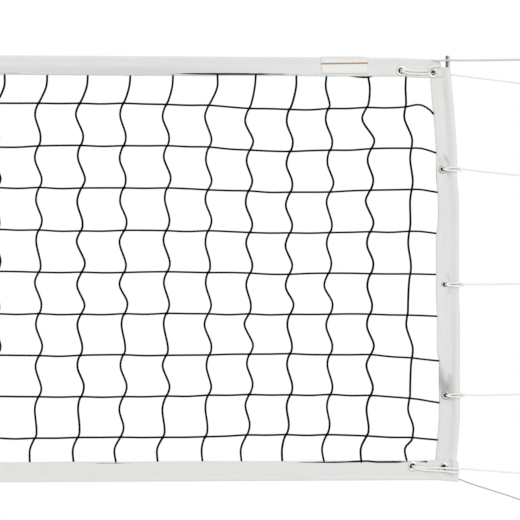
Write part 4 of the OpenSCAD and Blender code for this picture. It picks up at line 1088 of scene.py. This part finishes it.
def makeTapes():
    fineEnds = ((-4.9, -3.7), (3.7, 4.9))

    stations = spread(-netShape["topEnd"], netShape["topEnd"], tapeShape["fineStep"],
                      tapeShape["coarseStep"], fineEnds)
    section, split = foldSection("top")
    topTape = loftTape("top_tape", stations, section, split, placeTopTape, topShade)
    spots = [(s * x, z) for x, z in grommetShape["top"] for s in (1, -1)]
    topTape = punchHoles(topTape, spots, grommetShape["cornerHole"] + 0.0006)
    seams = sewTape("top_tape_seams", [seamLine("top", placeTopTape, stations, u, face)
                                       for u in (0.0042, 0.0295) for face in (-1, 1)])
    declareTape(topTape, "top_band", [seams])

    ends = [s for s in spread(-netShape["half"], netShape["half"], tapeShape["fineStep"],
                              tapeShape["coarseStep"], fineEnds) if abs(s) < 4.84]
    close = [4.84 + 0.00125 * i for i in range(19)]
    stations = [-s for s in close[::-1]] + ends + close
    section, split = foldSection("bottom")
    bottomTape = loftTape("bottom_tape", stations, section, split, placeBottomTape, bottomGrime)
    spots = [(s * x, z) for x, z in grommetShape["bottom"] for s in (1, -1)]
    bottomTape = punchHoles(bottomTape, spots, grommetShape["cornerHole"] + 0.0006)
    run = [s for s in stations if abs(s) < 4.847]
    seams = sewTape("bottom_tape_seams", [seamLine("bottom", placeBottomTape, run, u, face)
                                          for u in (0.0042, 0.034) for face in (-1, 1)])
    declareTape(bottomTape, "bottom_band", [seams])

    for side, label in ((1, "right"), (-1, "left")):
        placed = placeSideTape(side)
        stations = spread(1.4505, 2.406, 0.0032, 0.0032)
        section, split = foldSection("side")
        sideTape = loftTape("side_tape_" + label, stations, section, split, placed, sideDirtAndShade)
        spots = [(side * x, z) for x, z in sideSpots + [grommetShape["top"][1]]]
        sideTape = punchHoles(sideTape, spots, grommetShape["sideHole"] + 0.0005)
        inside = [s for s in stations if 1.456 < s < 2.382]
        free = [s for s in stations if 1.456 < s < 2.402]
        seams = sewTape("side_tape_seams_" + label,
                        [seamLine("side", placed, inside, 0.004, face) for face in (-1, 1)]
                        + [seamLine("side", placed, free, 0.0275, face) for face in (-1, 1)])
        declareTape(sideTape, "side_band_" + label, [seams])


makeTapes()
print("tapes folded, punched and sewn")


# label patch

labelShape = {"left": 4.5275, "right": 4.6415, "low": 2.3895, "high": 2.4272, "thick": 0.0006}


def makeLabel():
    shape = labelShape
    columns, rows = 30, 9
    points, faces = [], []
    for layer in (0, 1):
        for i in range(columns + 1):
            for j in range(rows + 1):
                x = shape["left"] + (shape["right"] - shape["left"]) * i / columns
                u = shape["low"] - netShape["ceiling"] + (shape["high"] - shape["low"]) * j / rows
                ragged = 0.0003 * softNoise(x * 300, u * 300, 1) if i in (0, columns) else 0.0
                p = placeTopTape(x + ragged, u, -foldHalf("top", u))
                edge = 0.35 if i in (0, columns) or j in (0, rows) else 1.0
                curl = 0.0009 * hump(x, shape["right"], 0.008) * hump(j, rows, 2)
                points.append(p + Vector((0, -0.0001 - (shape["thick"] * edge + curl) * (1 - layer), 0)))
    size = (columns + 1) * (rows + 1)
    for i in range(columns):
        for j in range(rows):
            a = i * (rows + 1) + j
            b, c, d = a + rows + 1, a + rows + 2, a + 1
            faces += [(a, b, c, d), (size + a, size + d, size + c, size + b)]
    rim = [i * (rows + 1) for i in range(columns + 1)]
    rim += [columns * (rows + 1) + j for j in range(1, rows + 1)]
    rim += [i * (rows + 1) + rows for i in range(columns - 1, -1, -1)]
    rim += list(range(rows - 1, 0, -1))
    for i, a in enumerate(rim):
        b = rim[(i + 1) % len(rim)]
        faces.append((a, size + a, size + b, b))
    patch = linkMesh("label_cloth", points, faces)
    fixNormals(patch.data)
    patch.data.shade_smooth()
    patch.data.materials.append(materials["wovenPatch"])
    inset = 0.0022
    left, right = shape["left"] + inset, shape["right"] - inset
    low, high = shape["low"] + inset, shape["high"] - inset
    corners = [(left, low), (right, low), (right, high), (left, high)]
    line = []
    for k in range(4):
        (x0, z0), (x1, z1) = corners[k], corners[(k + 1) % 4]
        for i in range(12):
            x, z = x0 + (x1 - x0) * i / 12, z0 + (z1 - z0) * i / 12
            u = z - netShape["ceiling"]
            p = placeTopTape(x, u, -foldHalf("top", u))
            line.append(p + Vector((0, -shape["thick"] - 0.0002, 0)))
    seam = runTree("label_seam", linkPaths("labelSeamLines", [line], True), stitchTree,
                   {"Shape": stitchShape, "Spacing": 0.0045, "Material": materials["stitchThread"]})
    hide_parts("label_patch")
    for piece in (patch, seam):
        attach(piece, "net_frame")


makeLabel()
print("label patch sewn on")


# netting

netMesh = {
    "pitch": 0.1,
    "columns": 48,          # on each side of the middle
    "rows": 9,
    "firstRow": 2.3165,
    "rowPitch": 0.1008,
    "upright": 0.0028,      # radius
    "level": 0.0025,
    "swingLeft": 0.0102,    # below each knot
    "swingRight": 0.0046,   # above the next one
    "entry": (0.0034, 0.006),   # an upright comes into its knot from the upper right
    "knot": 0.0008,
    "knotTwine": 0.0017,
    "borderTop": 2.3885,    # the netting's edge cords, in the folds
    "borderLow": 1.4488,
    "dip": (0.0145, 0.0026),    # the rows dip here and there, the upper ones most
    "endSettle": (0.002, 0.003, 0.002, 0.001, 0.004, 0.004, 0.008, 0.008, 0.003),
    "endRise": (0.0056, 0.0003, 0.0, -0.0003, -0.0005, -0.0009, -0.0025, -0.003, -0.002),
    "endDrops": (0.0235, 0.0118, 0.007, 0.005, 0.001, 0.002, 0.005, 0.008, 0.004),
    "lastColumn": (-0.0166, -0.0022, -0.0015, -0.007, -0.005, -0.012, -0.001, -0.0068, 0.0),
    "seed": 41,
}


def netKnots():
    rng = random.Random(netMesh["seed"])
    grid = []
    for k in range(-netMesh["columns"], netMesh["columns"]):
        column = []
        baseX = (k + 0.5) * netMesh["pitch"]
        away = abs(baseX)
        drift = 0.0085 * hump(baseX, 4.3, 0.3) - 0.004 + 0.003 * softNoise(baseX * 3, 0.2, 7.7)
        for j in range(netMesh["rows"]):
            x = baseX + drift + rng.gauss(0, 0.0013) - 0.0085 * (j == 8)
            if j == 0:
                x -= 0.004 * hump(baseX, 4.55, 0.05) + 0.009 * hump(baseX, 4.65, 0.05)
            z = netMesh["firstRow"] - j * netMesh["rowPitch"] + rng.gauss(0, 0.0009)
            z -= 0.0035 * math.sin(math.pi * j / 8)
            z -= hump(away, 4.47, 0.195) * (netMesh["dip"][0] - netMesh["dip"][1] * j)
            z -= netMesh["endSettle"][j] * smoothStep(4.62, 4.74, away)
            z -= 0.005 * softNoise(baseX * 2.3, j * 0.35, 3.3) * (1 - smoothStep(3.6, 3.9, away))
            if away > 4.7:
                x = baseX + math.copysign(1, baseX) * netMesh["lastColumn"][j]
            column.append(Vector((x, 0.0006 * rng.uniform(-1, 1), z)))
        grid.append(column)
    return grid


def uprightPath(column, rng):
    top, end = column[0], column[-1]
    calm = 0.35 if abs(top.x) > 4.7 else 1.0
    left, right = netMesh["swingLeft"] * calm, netMesh["swingRight"] * calm
    sideStep, rise = netMesh["entry"][0] * calm, netMesh["entry"][1]
    lean = rng.uniform(0.011, 0.021) * (1 - smoothStep(4.44, 4.53, abs(top.x)))
    lean -= 0.0065 * hump(top.x, 4.55, 0.03)
    bulge = 0.0075 * hump(top.x, 4.64, 0.03)
    ways = [Vector((top.x + lean + rng.uniform(0, 0.003), 0, netMesh["borderTop"])),
            Vector((top.x + lean + bulge, 0, 2.357)),
            top + Vector((sideStep, 0, rise)), top - Vector((sideStep, 0, rise))]
    for j in range(len(column) - 1):
        a, b = column[j], column[j + 1]
        swing, back = left * rng.uniform(0.6, 1.15), right * rng.uniform(0.4, 1.6)
        drop = a.z - b.z
        ways.append(Vector((a.x - swing, 0.001 * rng.uniform(-1, 1), a.z - drop * rng.uniform(0.25, 0.33))))
        ways.append(Vector((b.x + back + sideStep * 0.5, 0.001 * rng.uniform(-1, 1),
                            b.z + drop * rng.uniform(0.2, 0.28))))
        ways += [b + Vector((sideStep, 0, rise)), b - Vector((sideStep, 0, rise))]
    pull = rng.uniform(0.009, 0.015) + 0.006 * (abs(top.x) > 4.7)
    ways.append(Vector((end.x - pull, 0, 1.482)))
    ways.append(Vector((end.x - pull + rng.uniform(-0.001, 0.008), 0, 1.4475)))
    return smoothPath(ways, 0.0085)


def rowPath(grid, j, rng):
    n = netMesh
    ways = []
    for side in (-1, 1):
        knot = (grid[0] if side < 0 else grid[-1])[j]
        crest = knot.z + n["endRise"][j]
        endZ = crest - n["endDrops"][j]
        end = Vector((side * (netShape["inner"] + sideEdge(endZ) + endBow(endZ) + 0.001), 0, endZ))
        tail = [Vector((side * 4.7685, 0, crest)),
                Vector((side * 4.793, 0, crest - 0.55 * n["endDrops"][j])), end]
        ways.append(tail if side > 0 else tail[::-1])
    line = list(ways[0])
    for k, column in enumerate(grid):
        line.append(column[j])
        if k < len(grid) - 1:
            after = grid[k + 1][j]
            sag = rng.uniform(-0.0022, 0.0008)
            line.append((column[j] + after) / 2 + Vector((0, 0.0008 * rng.uniform(-1, 1), sag)))
    line += ways[1]
    return smoothPath(line, 0.013)


def borderPath(z, sign, rng):
    # the netting's edge cord runs inside the fold and slips out of it here and there, up to an upright
    dips = [4.645] + [rng.uniform(-4.6, 4.1) for _ in range(7)]
    ways, x = [], -4.79
    while x < 4.79:
        dip = max(smoothStep(c - 0.075, c - 0.01, x) * (1 - smoothStep(c, c + 0.014, x)) for c in dips)
        ways.append(Vector((x, 0, z - sign * 0.0068 * dip)))
        x += 0.008
    return smoothPath(ways, 0.012)


darkHoleCoilShape = {   # black netting cord coiled tight behind each grommet, put there so that its hole renders dark: painted shade
    "corner": {"inner": 0.0014, "outer": 0.0062, "cord": 0.0017, "turns": 2.4},
    "side": {"inner": 0.0013, "outer": 0.0047, "cord": 0.0015, "turns": 1.9},
}


def darkHoleCoil(x, y, z, turns, inner, outer):
    ways = []
    count = int(turns * 14)
    for i in range(count + 1):
        a, r = 0.7 + turns * fullTurn * i / count, inner + (outer - inner) * i / count
        ways.append(Vector((x + r * math.cos(a), y + 0.0012 * math.cos(2.5 * a), z + r * math.sin(a))))
    a = 0.7 + turns * fullTurn + 0.6
    ways.append(Vector((x + outer * math.cos(a), y * 0.35, z + outer * math.sin(a))))
    return smoothPath(ways, 0.0016)


# dark coils behind the grommets make the holes read dark: painted shade
def makeDarkHoleCoils():
    pieces = []
    for label, spots in (("corner", [(x, 0.0082, z) for x, z in cornerSpots]),
                         ("side", [(x, 0.0102, z) for x, z in sideSpots])):
        shape = darkHoleCoilShape[label]
        coils = []
        for side in (1, -1):
            for x, y, z in spots:
                coils.append(darkHoleCoil(side * x, y, z, shape["turns"], shape["inner"], shape["outer"]))
        pieces.append(sweepCord("net_ends_" + label, coils, shape["cord"], 6, "netTwine"))
    return pieces


def makeNetting():
    rng = random.Random(netMesh["seed"] + 1)
    grid = netKnots()
    uprights = [uprightPath(column, rng) for column in grid]
    rows = [rowPath(grid, j, rng) for j in range(netMesh["rows"])]
    borders = [borderPath(netMesh["borderTop"], 1, rng), borderPath(netMesh["borderLow"], -0.3, rng)]
    uprightCords = sweepCord("net_uprights", uprights, netMesh["upright"], 6, "netTwine")
    levelCords = sweepCord("net_rows", rows + borders, netMesh["level"], 6, "netTwine")
    knot = knotPath(netMesh["knot"], 0.0014, 15)
    shape = sweepCord("knotShape", [knot], netMesh["knotTwine"], 5, "netTwine", True)
    spots = linkMesh("knotSpots", [p for column in grid for p in column], [])
    knots = runTree("net_knots", spots, scatterTree, {
        "Shape": shape, "Seed": netMesh["seed"], "Turn": fullTurn, "Smallest": 0.9, "Largest": 1.12,
        "Material": materials["netTwine"]})
    bpy.data.objects.remove(shape)
    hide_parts("netting")
    for piece in [uprightCords, levelCords, knots] + makeDarkHoleCoils():
        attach(piece, "net_frame")


makeNetting()
print("netting knotted")


# grommets and dowels

dowelShape = {"radius": 0.0055, "foot": 1.4146, "head": 2.4345}


def makeGrommets():
    for side, label in ((1, "right"), (-1, "left")):
        corner = [(side * x, 0, z) for x, z in cornerSpots]
        small = [(side * x, 0, z) for x, z in sideSpots]
        large = runTree("corner_grommets_" + label, linkMesh("spots", corner, []), grommetTree, {
            "Hole": grommetShape["cornerHole"], "Outer": grommetShape["cornerOuter"], "Face": 0.0029,
            "Flange": 0.0008, "Material": materials["nickel"]})
        little = runTree("side_grommets_" + label, linkMesh("spots", small, []), grommetTree, {
            "Hole": grommetShape["sideHole"], "Outer": grommetShape["sideOuter"], "Face": 0.0019,
            "Flange": 0.0008, "Material": materials["agedNickel"]})
        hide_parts("grommets_" + label)
        for piece in (large, little):
            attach(piece, "net_frame")


def makeDowels():
    for side, label in ((1, "right"), (-1, "left")):
        line = []
        for i in range(61):
            z = dowelShape["foot"] + (dowelShape["head"] - dowelShape["foot"]) * i / 60
            line.append(Vector((side * (netShape["dowelX"] + endBow(z)), 0, z)))
        rod = sweepCord("bent_dowel_" + label, [line], dowelShape["radius"], 24, "fibreRod")
        faded = rod.data.attributes.new("faded", "FLOAT", "POINT")   # the side towards the key light is painted paler: a painted highlight
        shares = []
        for v in rod.data.vertices:
            across = side * v.co.x - netShape["dowelX"] - endBow(v.co.z)
            shares.append(smoothStep(-0.25, 0.3, across / dowelShape["radius"]))
        faded.data.foreach_set("value", np.array(shares, np.float32))
        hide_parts("dowel_" + label)
        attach(rod, "net_frame")


makeGrommets()
makeDowels()
print("grommets and dowels are in")


# tie ropes

ropeShape = {
    "radius": 0.00225,
    "step": 0.0028,
    "strand": 0.0024,       # half the distance of two strands side by side
    "face": 0.00625,        # rope lying on a flange
    "sleeve": 0.00965,      # rope lying on the dowel's sleeve
    "bandKnotX": 4.873,
    "eyeX": 5.1819,         # nearest part of an eye's wire
    "eyeKnotX": 5.1659,
    "turn": 0.00565,
    "knot": 0.00128,
    "knotRadius": 0.0021,
    "topEyeZ": 2.347,
    "bottomEyeZ": 1.41,
}


def eyeTurn(z):
    s = ropeShape
    ways = [(s["eyeKnotX"], -s["strand"], z), (s["eyeX"] - 0.008, -s["turn"] * 0.8, z)]
    for angle in range(-105, 106, 30):
        a = math.radians(angle)
        ways.append((s["eyeX"] + s["turn"] * math.cos(a), s["turn"] * math.sin(a), z))
    return ways + [(s["eyeX"] - 0.008, s["turn"] * 0.8, z), (s["eyeKnotX"], s["strand"], z)]


def bandTurn(x, z):
    s = ropeShape
    back = [
        (s["bandKnotX"], s["strand"], z), (s["bandKnotX"] - 0.006, s["sleeve"] - 0.0025, z),
        (netShape["dowelX"], s["sleeve"], z), (x + 0.011, s["face"] - 0.0004, z),
        (x + 0.0046, s["face"] - 0.0009, z), (x + 0.0024, 0.0034, z), (x + 0.0022, 0, z),
    ]
    front = [(px, -py, pz) for px, py, pz in back[-2::-1]]
    fan = (0.0002, 0.0008, 0.0026, 0.0046, 0.0042, 0.0018)
    second = [(px, py, pz - 0.9 * f) for (px, py, pz), f in zip(front, fan)]
    return back + [(px, py, pz + f) for (px, py, pz), f in zip(front, fan)], second


def endLine(p0, p1, sag=0.0):
    # the free run between the net and the post, hanging a little
    a, b = Vector(p0), Vector(p1)
    return [a.lerp(b, t) - Vector((0, 0, sag * 4 * t * (1 - t))) for t in (0.2, 0.4, 0.6, 0.8)]


def ropeKnots(side, spots):
    paths = []
    for x, y, z in spots:
        centre = bowed((x, y, z))
        paths.append([Vector((side * (centre.x + p.x), centre.y + p.y, centre.z + p.z))
                      for p in knotPath(ropeShape["knot"], 0.0026, 26)])
    return paths


def ropePath(side, points):
    placed = [bowed(p) for p in points]
    return smoothPath([Vector((side * p.x, p.y, p.z)) for p in placed], ropeShape["step"])


def finishRope(node, side, main, extras, knots):
    path = ropePath(side, main)
    rope = sweepCord("rope_" + node, [path], ropeShape["radius"], 10, "whiteRope")
    others = []
    for i, extra in enumerate(extras):
        name = "rope_end_%d_%s" % (i + 1, node)
        others.append(sweepCord(name, [ropePath(side, extra)], ropeShape["radius"], 10, "whiteRope"))
    loops = ropeKnots(side, knots)
    others.append(sweepCord("rope_knots_" + node, loops, ropeShape["knotRadius"], 8, "whiteRope", True))
    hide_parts(node)
    for piece in [rope] + others:
        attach(piece, "net_frame")
    tuple(path[0])
    [tuple(p) for p in path]


tieHeights = {"upper": (2.159, 2.13), "middle": (1.879, 1.885), "lower": (1.61, 1.615)}


def fromGrommet(x, z, rise):
    return [(x, 0.0142, z + rise), (x, 0.006, z + rise), (x, 0.0, z + rise), (x + 0.001, -0.0034, z + rise),
            (x + 0.005, -ropeShape["face"], z + rise)]


def makeRopes():
    s = ropeShape
    split = s["radius"] + 0.00015
    for side, label in ((1, "right"), (-1, "left")):
        for height, (z, eyeZ) in tieHeights.items():
            start = (s["bandKnotX"], -s["strand"], z)
            finish = (s["eyeKnotX"], -s["strand"], eyeZ)
            around, second = bandTurn(grommetShape["sideX"], z)
            main = around + endLine(start, finish, 0.0005) + eyeTurn(eyeZ)
            knots = [(s["bandKnotX"], 0, z), (s["eyeKnotX"], 0, eyeZ)]
            finishRope("%s_tie_%s" % (height, label), side, main, [second], knots)

        (first, z), (second, z2) = grommetShape["top"]
        eyeZ = s["topEyeZ"]
        behind = (s["bandKnotX"], s["sleeve"] - 0.003, z - 0.0086)
        main = fromGrommet(first, z, -split) + [
            (first + 0.016, -s["face"] + 0.002, z - 0.0064),
            (second - 0.013, -s["face"] + 0.001, z2 - 0.0028),
            (second - 0.0045, -s["face"], z2 - 0.0022), (second - 0.0005, -0.0034, z2 - 0.0015),
            (second, 0, z2 - 0.0015), (second + 0.001, 0.0034, z2 - 0.0015),
            (second + 0.005, s["face"] + 0.0002, z2 - 0.001),
            (netShape["dowelX"] - 0.016, s["face"] + 0.001, z - 0.0055),
            (netShape["dowelX"], s["sleeve"], z - 0.0075),
            behind] + endLine(behind, (s["eyeKnotX"], -s["strand"], eyeZ), 0.0002) + eyeTurn(eyeZ)
        tail = fromGrommet(first, z, split) + [
            (first + 0.02, -s["face"] + 0.002, z + 0.0006),
            (second - 0.016, -s["face"] + 0.001, z - 0.0002),
            (second - 0.003, -s["face"] - 0.0008, z + 0.0004),
            (second + 0.004, -s["face"] - 0.0014, z + 0.0042),
            (second + 0.014, -s["face"] - 0.0014, z + 0.0082), (4.842, -s["face"] - 0.0008, z + 0.0128)]
        knots = [(first, 0.0165, z), (s["eyeKnotX"], 0, eyeZ)]
        finishRope("top_lashing_" + label, side, main, [tail], knots)

        (first, z), (second, z2) = grommetShape["bottom"]
        eyeZ = s["bottomEyeZ"]
        beside = (s["bandKnotX"], -s["sleeve"] + 0.003, z - 0.005)
        main = fromGrommet(first, z, split * 0.4) + [
            (first + 0.02, -s["face"] + 0.001, z - 0.0022), (second, -s["face"] - 0.0004, z - 0.0032),
            (netShape["dowelX"], -s["sleeve"] - 0.0004, z - 0.0042), beside,
        ] + endLine(beside, (s["eyeKnotX"], -s["strand"], eyeZ), 0.0008) + eyeTurn(eyeZ)
        edge = netShape["half"] + s["radius"] + 0.001
        back = fromGrommet(first, z, -split * 1.6) + [
            (first + 0.02, -s["face"] + 0.001, z - 0.0068),
            (second, -s["face"] - 0.0004, z - 0.0105),
            (netShape["dowelX"], -s["sleeve"] - 0.0004, z - 0.0135),
            (edge, -0.005, z - 0.014), (edge, 0.005, z - 0.014),
            (netShape["dowelX"], s["sleeve"] + 0.0004, z - 0.0135),
            (second + 0.006, s["face"] + 0.004, z - 0.007), (second, s["face"] + 0.0095, z2)]
        knots = [(first, 0.0165, z), (second, 0.0165, z2), (s["eyeKnotX"], 0, eyeZ)]
        finishRope("bottom_lashing_" + label, side, main, [back], knots)


makeRopes()
print("ropes tied")


# cables

cableShape = {
    "topRadius": 0.0025,
    "bottomRadius": 0.0015,
    "topZ": 2.4258,
    "bottomZ": 1.4072,
    "front": -0.0085,       # where the top cable passes a dowel
    "sheave": (5.264, 2.4, 0.03),
    "anchor": (5.258, 2.43, 0.0088),
    "strand": 0.0028,
    "ferrule": (5.24, 5.216),
    "winchX": 5.344625, "winchZ": 1.3,
    "windRadius": 0.0228, "windY": -0.0084, "windPitch": 0.0056, "turns": 3,
    "entryZ": 1.3177,
    "eyeZ": 1.296,
    "eyeTurn": 0.0049,      # the wire's loop round the post's eye
    "crimp": (0.0036, 0.0021),  # half width and half height of its sleeve
    "crimpSides": 20,
}


def dowelPass(side):
    c, x = cableShape, netShape["dowelX"]
    droop = tapeDroop(4.82)
    ways = [(x - 0.026 - 0.02, 0, c["topZ"] + droop), (x - 0.009, c["front"], c["topZ"] + droop * 0.8),
            (x + 0.009, c["front"], c["topZ"] + droop * 0.7), (x + 0.04, -0.001, c["topZ"] + droop * 0.55)]
    return [bowed((side * px, py, pz)) for px, py, pz in ways]


def makeTopCable():
    c = cableShape
    ax, az, ar = c["anchor"]
    near, far = c["ferrule"][1], c["ferrule"][0]
    ways = [(-near, 0, az - c["strand"]), (-far, 0, az - c["strand"])]
    ways += [(-ax + ar * math.cos(math.radians(a)), 0, az + ar * math.sin(math.radians(a)))
             for a in range(-90, -271, -30)]
    ways += [(-far, 0, az + c["strand"]), (-near, 0, az + c["strand"])]
    line = smoothPath(ways, 0.004)
    hem = [Vector((x, 0, c["topZ"] + tapeDroop(x))) for x in np.linspace(-4.80, 4.80, 120)]
    sx, sz, sr = c["sheave"]
    over = [(sx + sr * math.cos(math.radians(a)), 0, sz + sr * math.sin(math.radians(a)))
            for a in range(90, 14, -15)]
    entryX = c["winchX"] - c["windRadius"]
    down = [(sx + sr, 0, sz - 0.008), (entryX, c["windY"], c["entryZ"] + 0.03),
            (entryX, c["windY"], c["entryZ"])]
    rest = dowelPass(-1)[::-1] + hem + dowelPass(1) + [Vector(p) for p in over + down]
    line += smoothPath([line[-1]] + rest, 0.008)[1:]
    cable = sweepCord("coated_cable", [line], c["topRadius"], 12, "coatedCable")
    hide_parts("top_cable")
    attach(cable, "net_frame")


def makeWinding():
    c = cableShape
    count = c["turns"] * 24
    ways = [(c["winchX"] - c["windRadius"], c["windY"], c["winchZ"] + 0.005)]
    for k in range(count + 1):
        a = math.pi + k * fullTurn / 24
        ways.append((c["winchX"] + c["windRadius"] * math.cos(a), c["windY"] + c["windPitch"] * k / 24,
                     c["winchZ"] + c["windRadius"] * math.sin(a)))
    ways.append((c["winchX"] - c["windRadius"], c["windY"] + c["windPitch"] * c["turns"],
                 c["winchZ"] - 0.005))
    wound = sweepCord("wound_cable", [smoothPath(ways, 0.003)], c["topRadius"], 12, "coatedCable")
    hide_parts("drum_winding")
    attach(wound, "drum")


def wireLoop(side):
    c = cableShape
    strand, turn, eye = c["bottomRadius"] + 0.00015, c["eyeTurn"], ropeShape["eyeX"]
    ways = [(eye - 0.026, strand), (eye - 0.014, strand), (eye - 0.006, turn * 0.8)]
    ways += [(eye + turn * math.cos(math.radians(a)), turn * math.sin(math.radians(a)))
             for a in range(105, -106, -30)]
    ways += [(eye - 0.006, -turn * 0.8), (eye - 0.014, -strand), (eye - 0.026, -strand)]
    return [Vector((side * x, y, c["eyeZ"])) for x, y in ways]


def makeCrimpSleeve(side):
    # pressed on the two strands, its ends rounded off
    wide, high = cableShape["crimp"]
    n, eye = cableShape["crimpSides"], ropeShape["eyeX"]
    ends = [(eye - 0.0245, 1.0), (eye - 0.0235, 1.25), (eye - 0.0165, 1.25), (eye - 0.0155, 1.0)]
    points, faces = [], []
    for x, grow in ends:
        for k in range(n):
            a = fullTurn * k / n
            points.append((side * x, wide * grow * math.cos(a),
                           cableShape["eyeZ"] + high * grow * math.sin(a)))
    for i in range(len(ends) - 1):
        for k in range(n):
            after = (k + 1) % n
            faces.append((i * n + k, i * n + after, (i + 1) * n + after, (i + 1) * n + k))
    faces += [tuple(range(n)), tuple(range(4 * n - 1, 3 * n - 1, -1))]
    sleeve = linkMesh("crimp_sleeve_%s" % ("right" if side > 0 else "left"), points, faces)
    fixNormals(sleeve.data)
    sleeve.data.materials.append(materials["zincPlate"])
    return sleeve


def makeBottomCable():
    c = cableShape
    middle = [Vector((x, 0, c["bottomZ"] - 0.0026 * smoothStep(4.79, 4.86, abs(x))))
              for x in np.linspace(-4.868, 4.868, 91)]
    away = [Vector((4.884, 0, 1.398)), Vector((4.95, 0, 1.3766)), Vector((5.011, 0, 1.3562))]
    mirrored = [Vector((-p.x, 0, p.z)) for p in away[::-1]]
    line = smoothPath(wireLoop(-1) + mirrored + middle + away + wireLoop(1)[::-1], 0.006)
    cable = sweepCord("wire_cable", [line], c["bottomRadius"], 10, "wireRope")
    sleeves = [makeCrimpSleeve(side) for side in (-1, 1)]
    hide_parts("bottom_cable")
    for piece in [cable] + sleeves:
        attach(piece, "net_frame")


makeTopCable()
makeWinding()
makeBottomCable()
print("cables strung")


# welds on the bases

weldShape = {
    "bead": 0.0024, "spacing": 0.0034, "seed": 5,
    "postX": 5.25,
    "ring": (0.0509, 0.0131),   # round the socket: radius and height
    "gusset": (0.054, 0.149),   # along each gusset, from the post's centre
    "gussetSide": 0.0048,
    "gussetZ": 0.0126,
}


def makeWelds():
    work = bmesh.new()
    bmesh.ops.create_icosphere(work, subdivisions=2, radius=weldShape["bead"])
    bmesh.ops.scale(work, verts=work.verts, vec=(1.0, 1.0, 0.75))
    mesh = bpy.data.meshes.new("beadShape")
    work.to_mesh(mesh)
    work.free()
    bead = bpy.data.objects.new("beadShape", mesh)
    scene.collection.objects.link(bead)
    w = weldShape
    radius, ringZ = w["ring"]
    count = int(fullTurn * radius / w["spacing"])
    for side, label in ((1, "right"), (-1, "left")):
        spots = []
        for i in range(count):
            a = fullTurn * i / count
            spots.append((side * w["postX"] + radius * math.cos(a), radius * math.sin(a), ringZ))
        for quarter in range(4):
            turn = quarter * math.pi / 2
            for edge in (-w["gussetSide"], w["gussetSide"]):
                r = w["gusset"][0]
                while r < w["gusset"][1]:
                    x = r * math.cos(turn) - edge * math.sin(turn)
                    y = r * math.sin(turn) + edge * math.cos(turn)
                    spots.append((side * w["postX"] + x, y, w["gussetZ"]))
                    r += w["spacing"]
        welds = runTree("weld_beads_" + label, linkMesh("beadSpots", spots, []), scatterTree, {
            "Shape": bead, "Seed": weldShape["seed"], "Turn": 0.0, "Smallest": 0.85, "Largest": 1.12,
            "Material": materials["weldBead"]})
        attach(welds, "base")
    bpy.data.objects.remove(bead)


makeWelds()
bpy.data.objects.remove(stitchShape)
print("welds laid")


# finishes of the posts, heads and winch

nodeFinishes = {
    "blackCoat": ["base_plate_right", "base_plate_left"],
    "outerTube": ["outer_post_right", "outer_post_left"],
    "innerTube": ["inner_post_right", "inner_post_left"],
    "mouldedBlack": ["guide_collar_right", "guide_collar_left", "glide_foot_right", "glide_foot_left",
                     "height_knob_right", "height_knob_left", "crank_grip"],
    "castHead": ["pulley_head", "anchor_head"],
    "zincPlate": ["sheave_axle", "anchor_pin", "eye_bolts_right", "eye_bolts_left", "winch_u_bolts",
                  "drum_axle", "crank_shaft", "grip_spindle", "cable_ferrule"],
    "turnedNylon": ["sheave"],
    "winchPlate": ["winch_frame", "drum", "crank_arm"],
    "oiledGear": ["drum_gear", "pinion", "brake_hub"],
}


def finishNodes():
    for finish, names in nodeFinishes.items():
        for name in names:
            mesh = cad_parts[name].data
            mesh.materials.clear()
            mesh.materials.append(materials[finish])


finishNodes()
print("posts and winch finished")
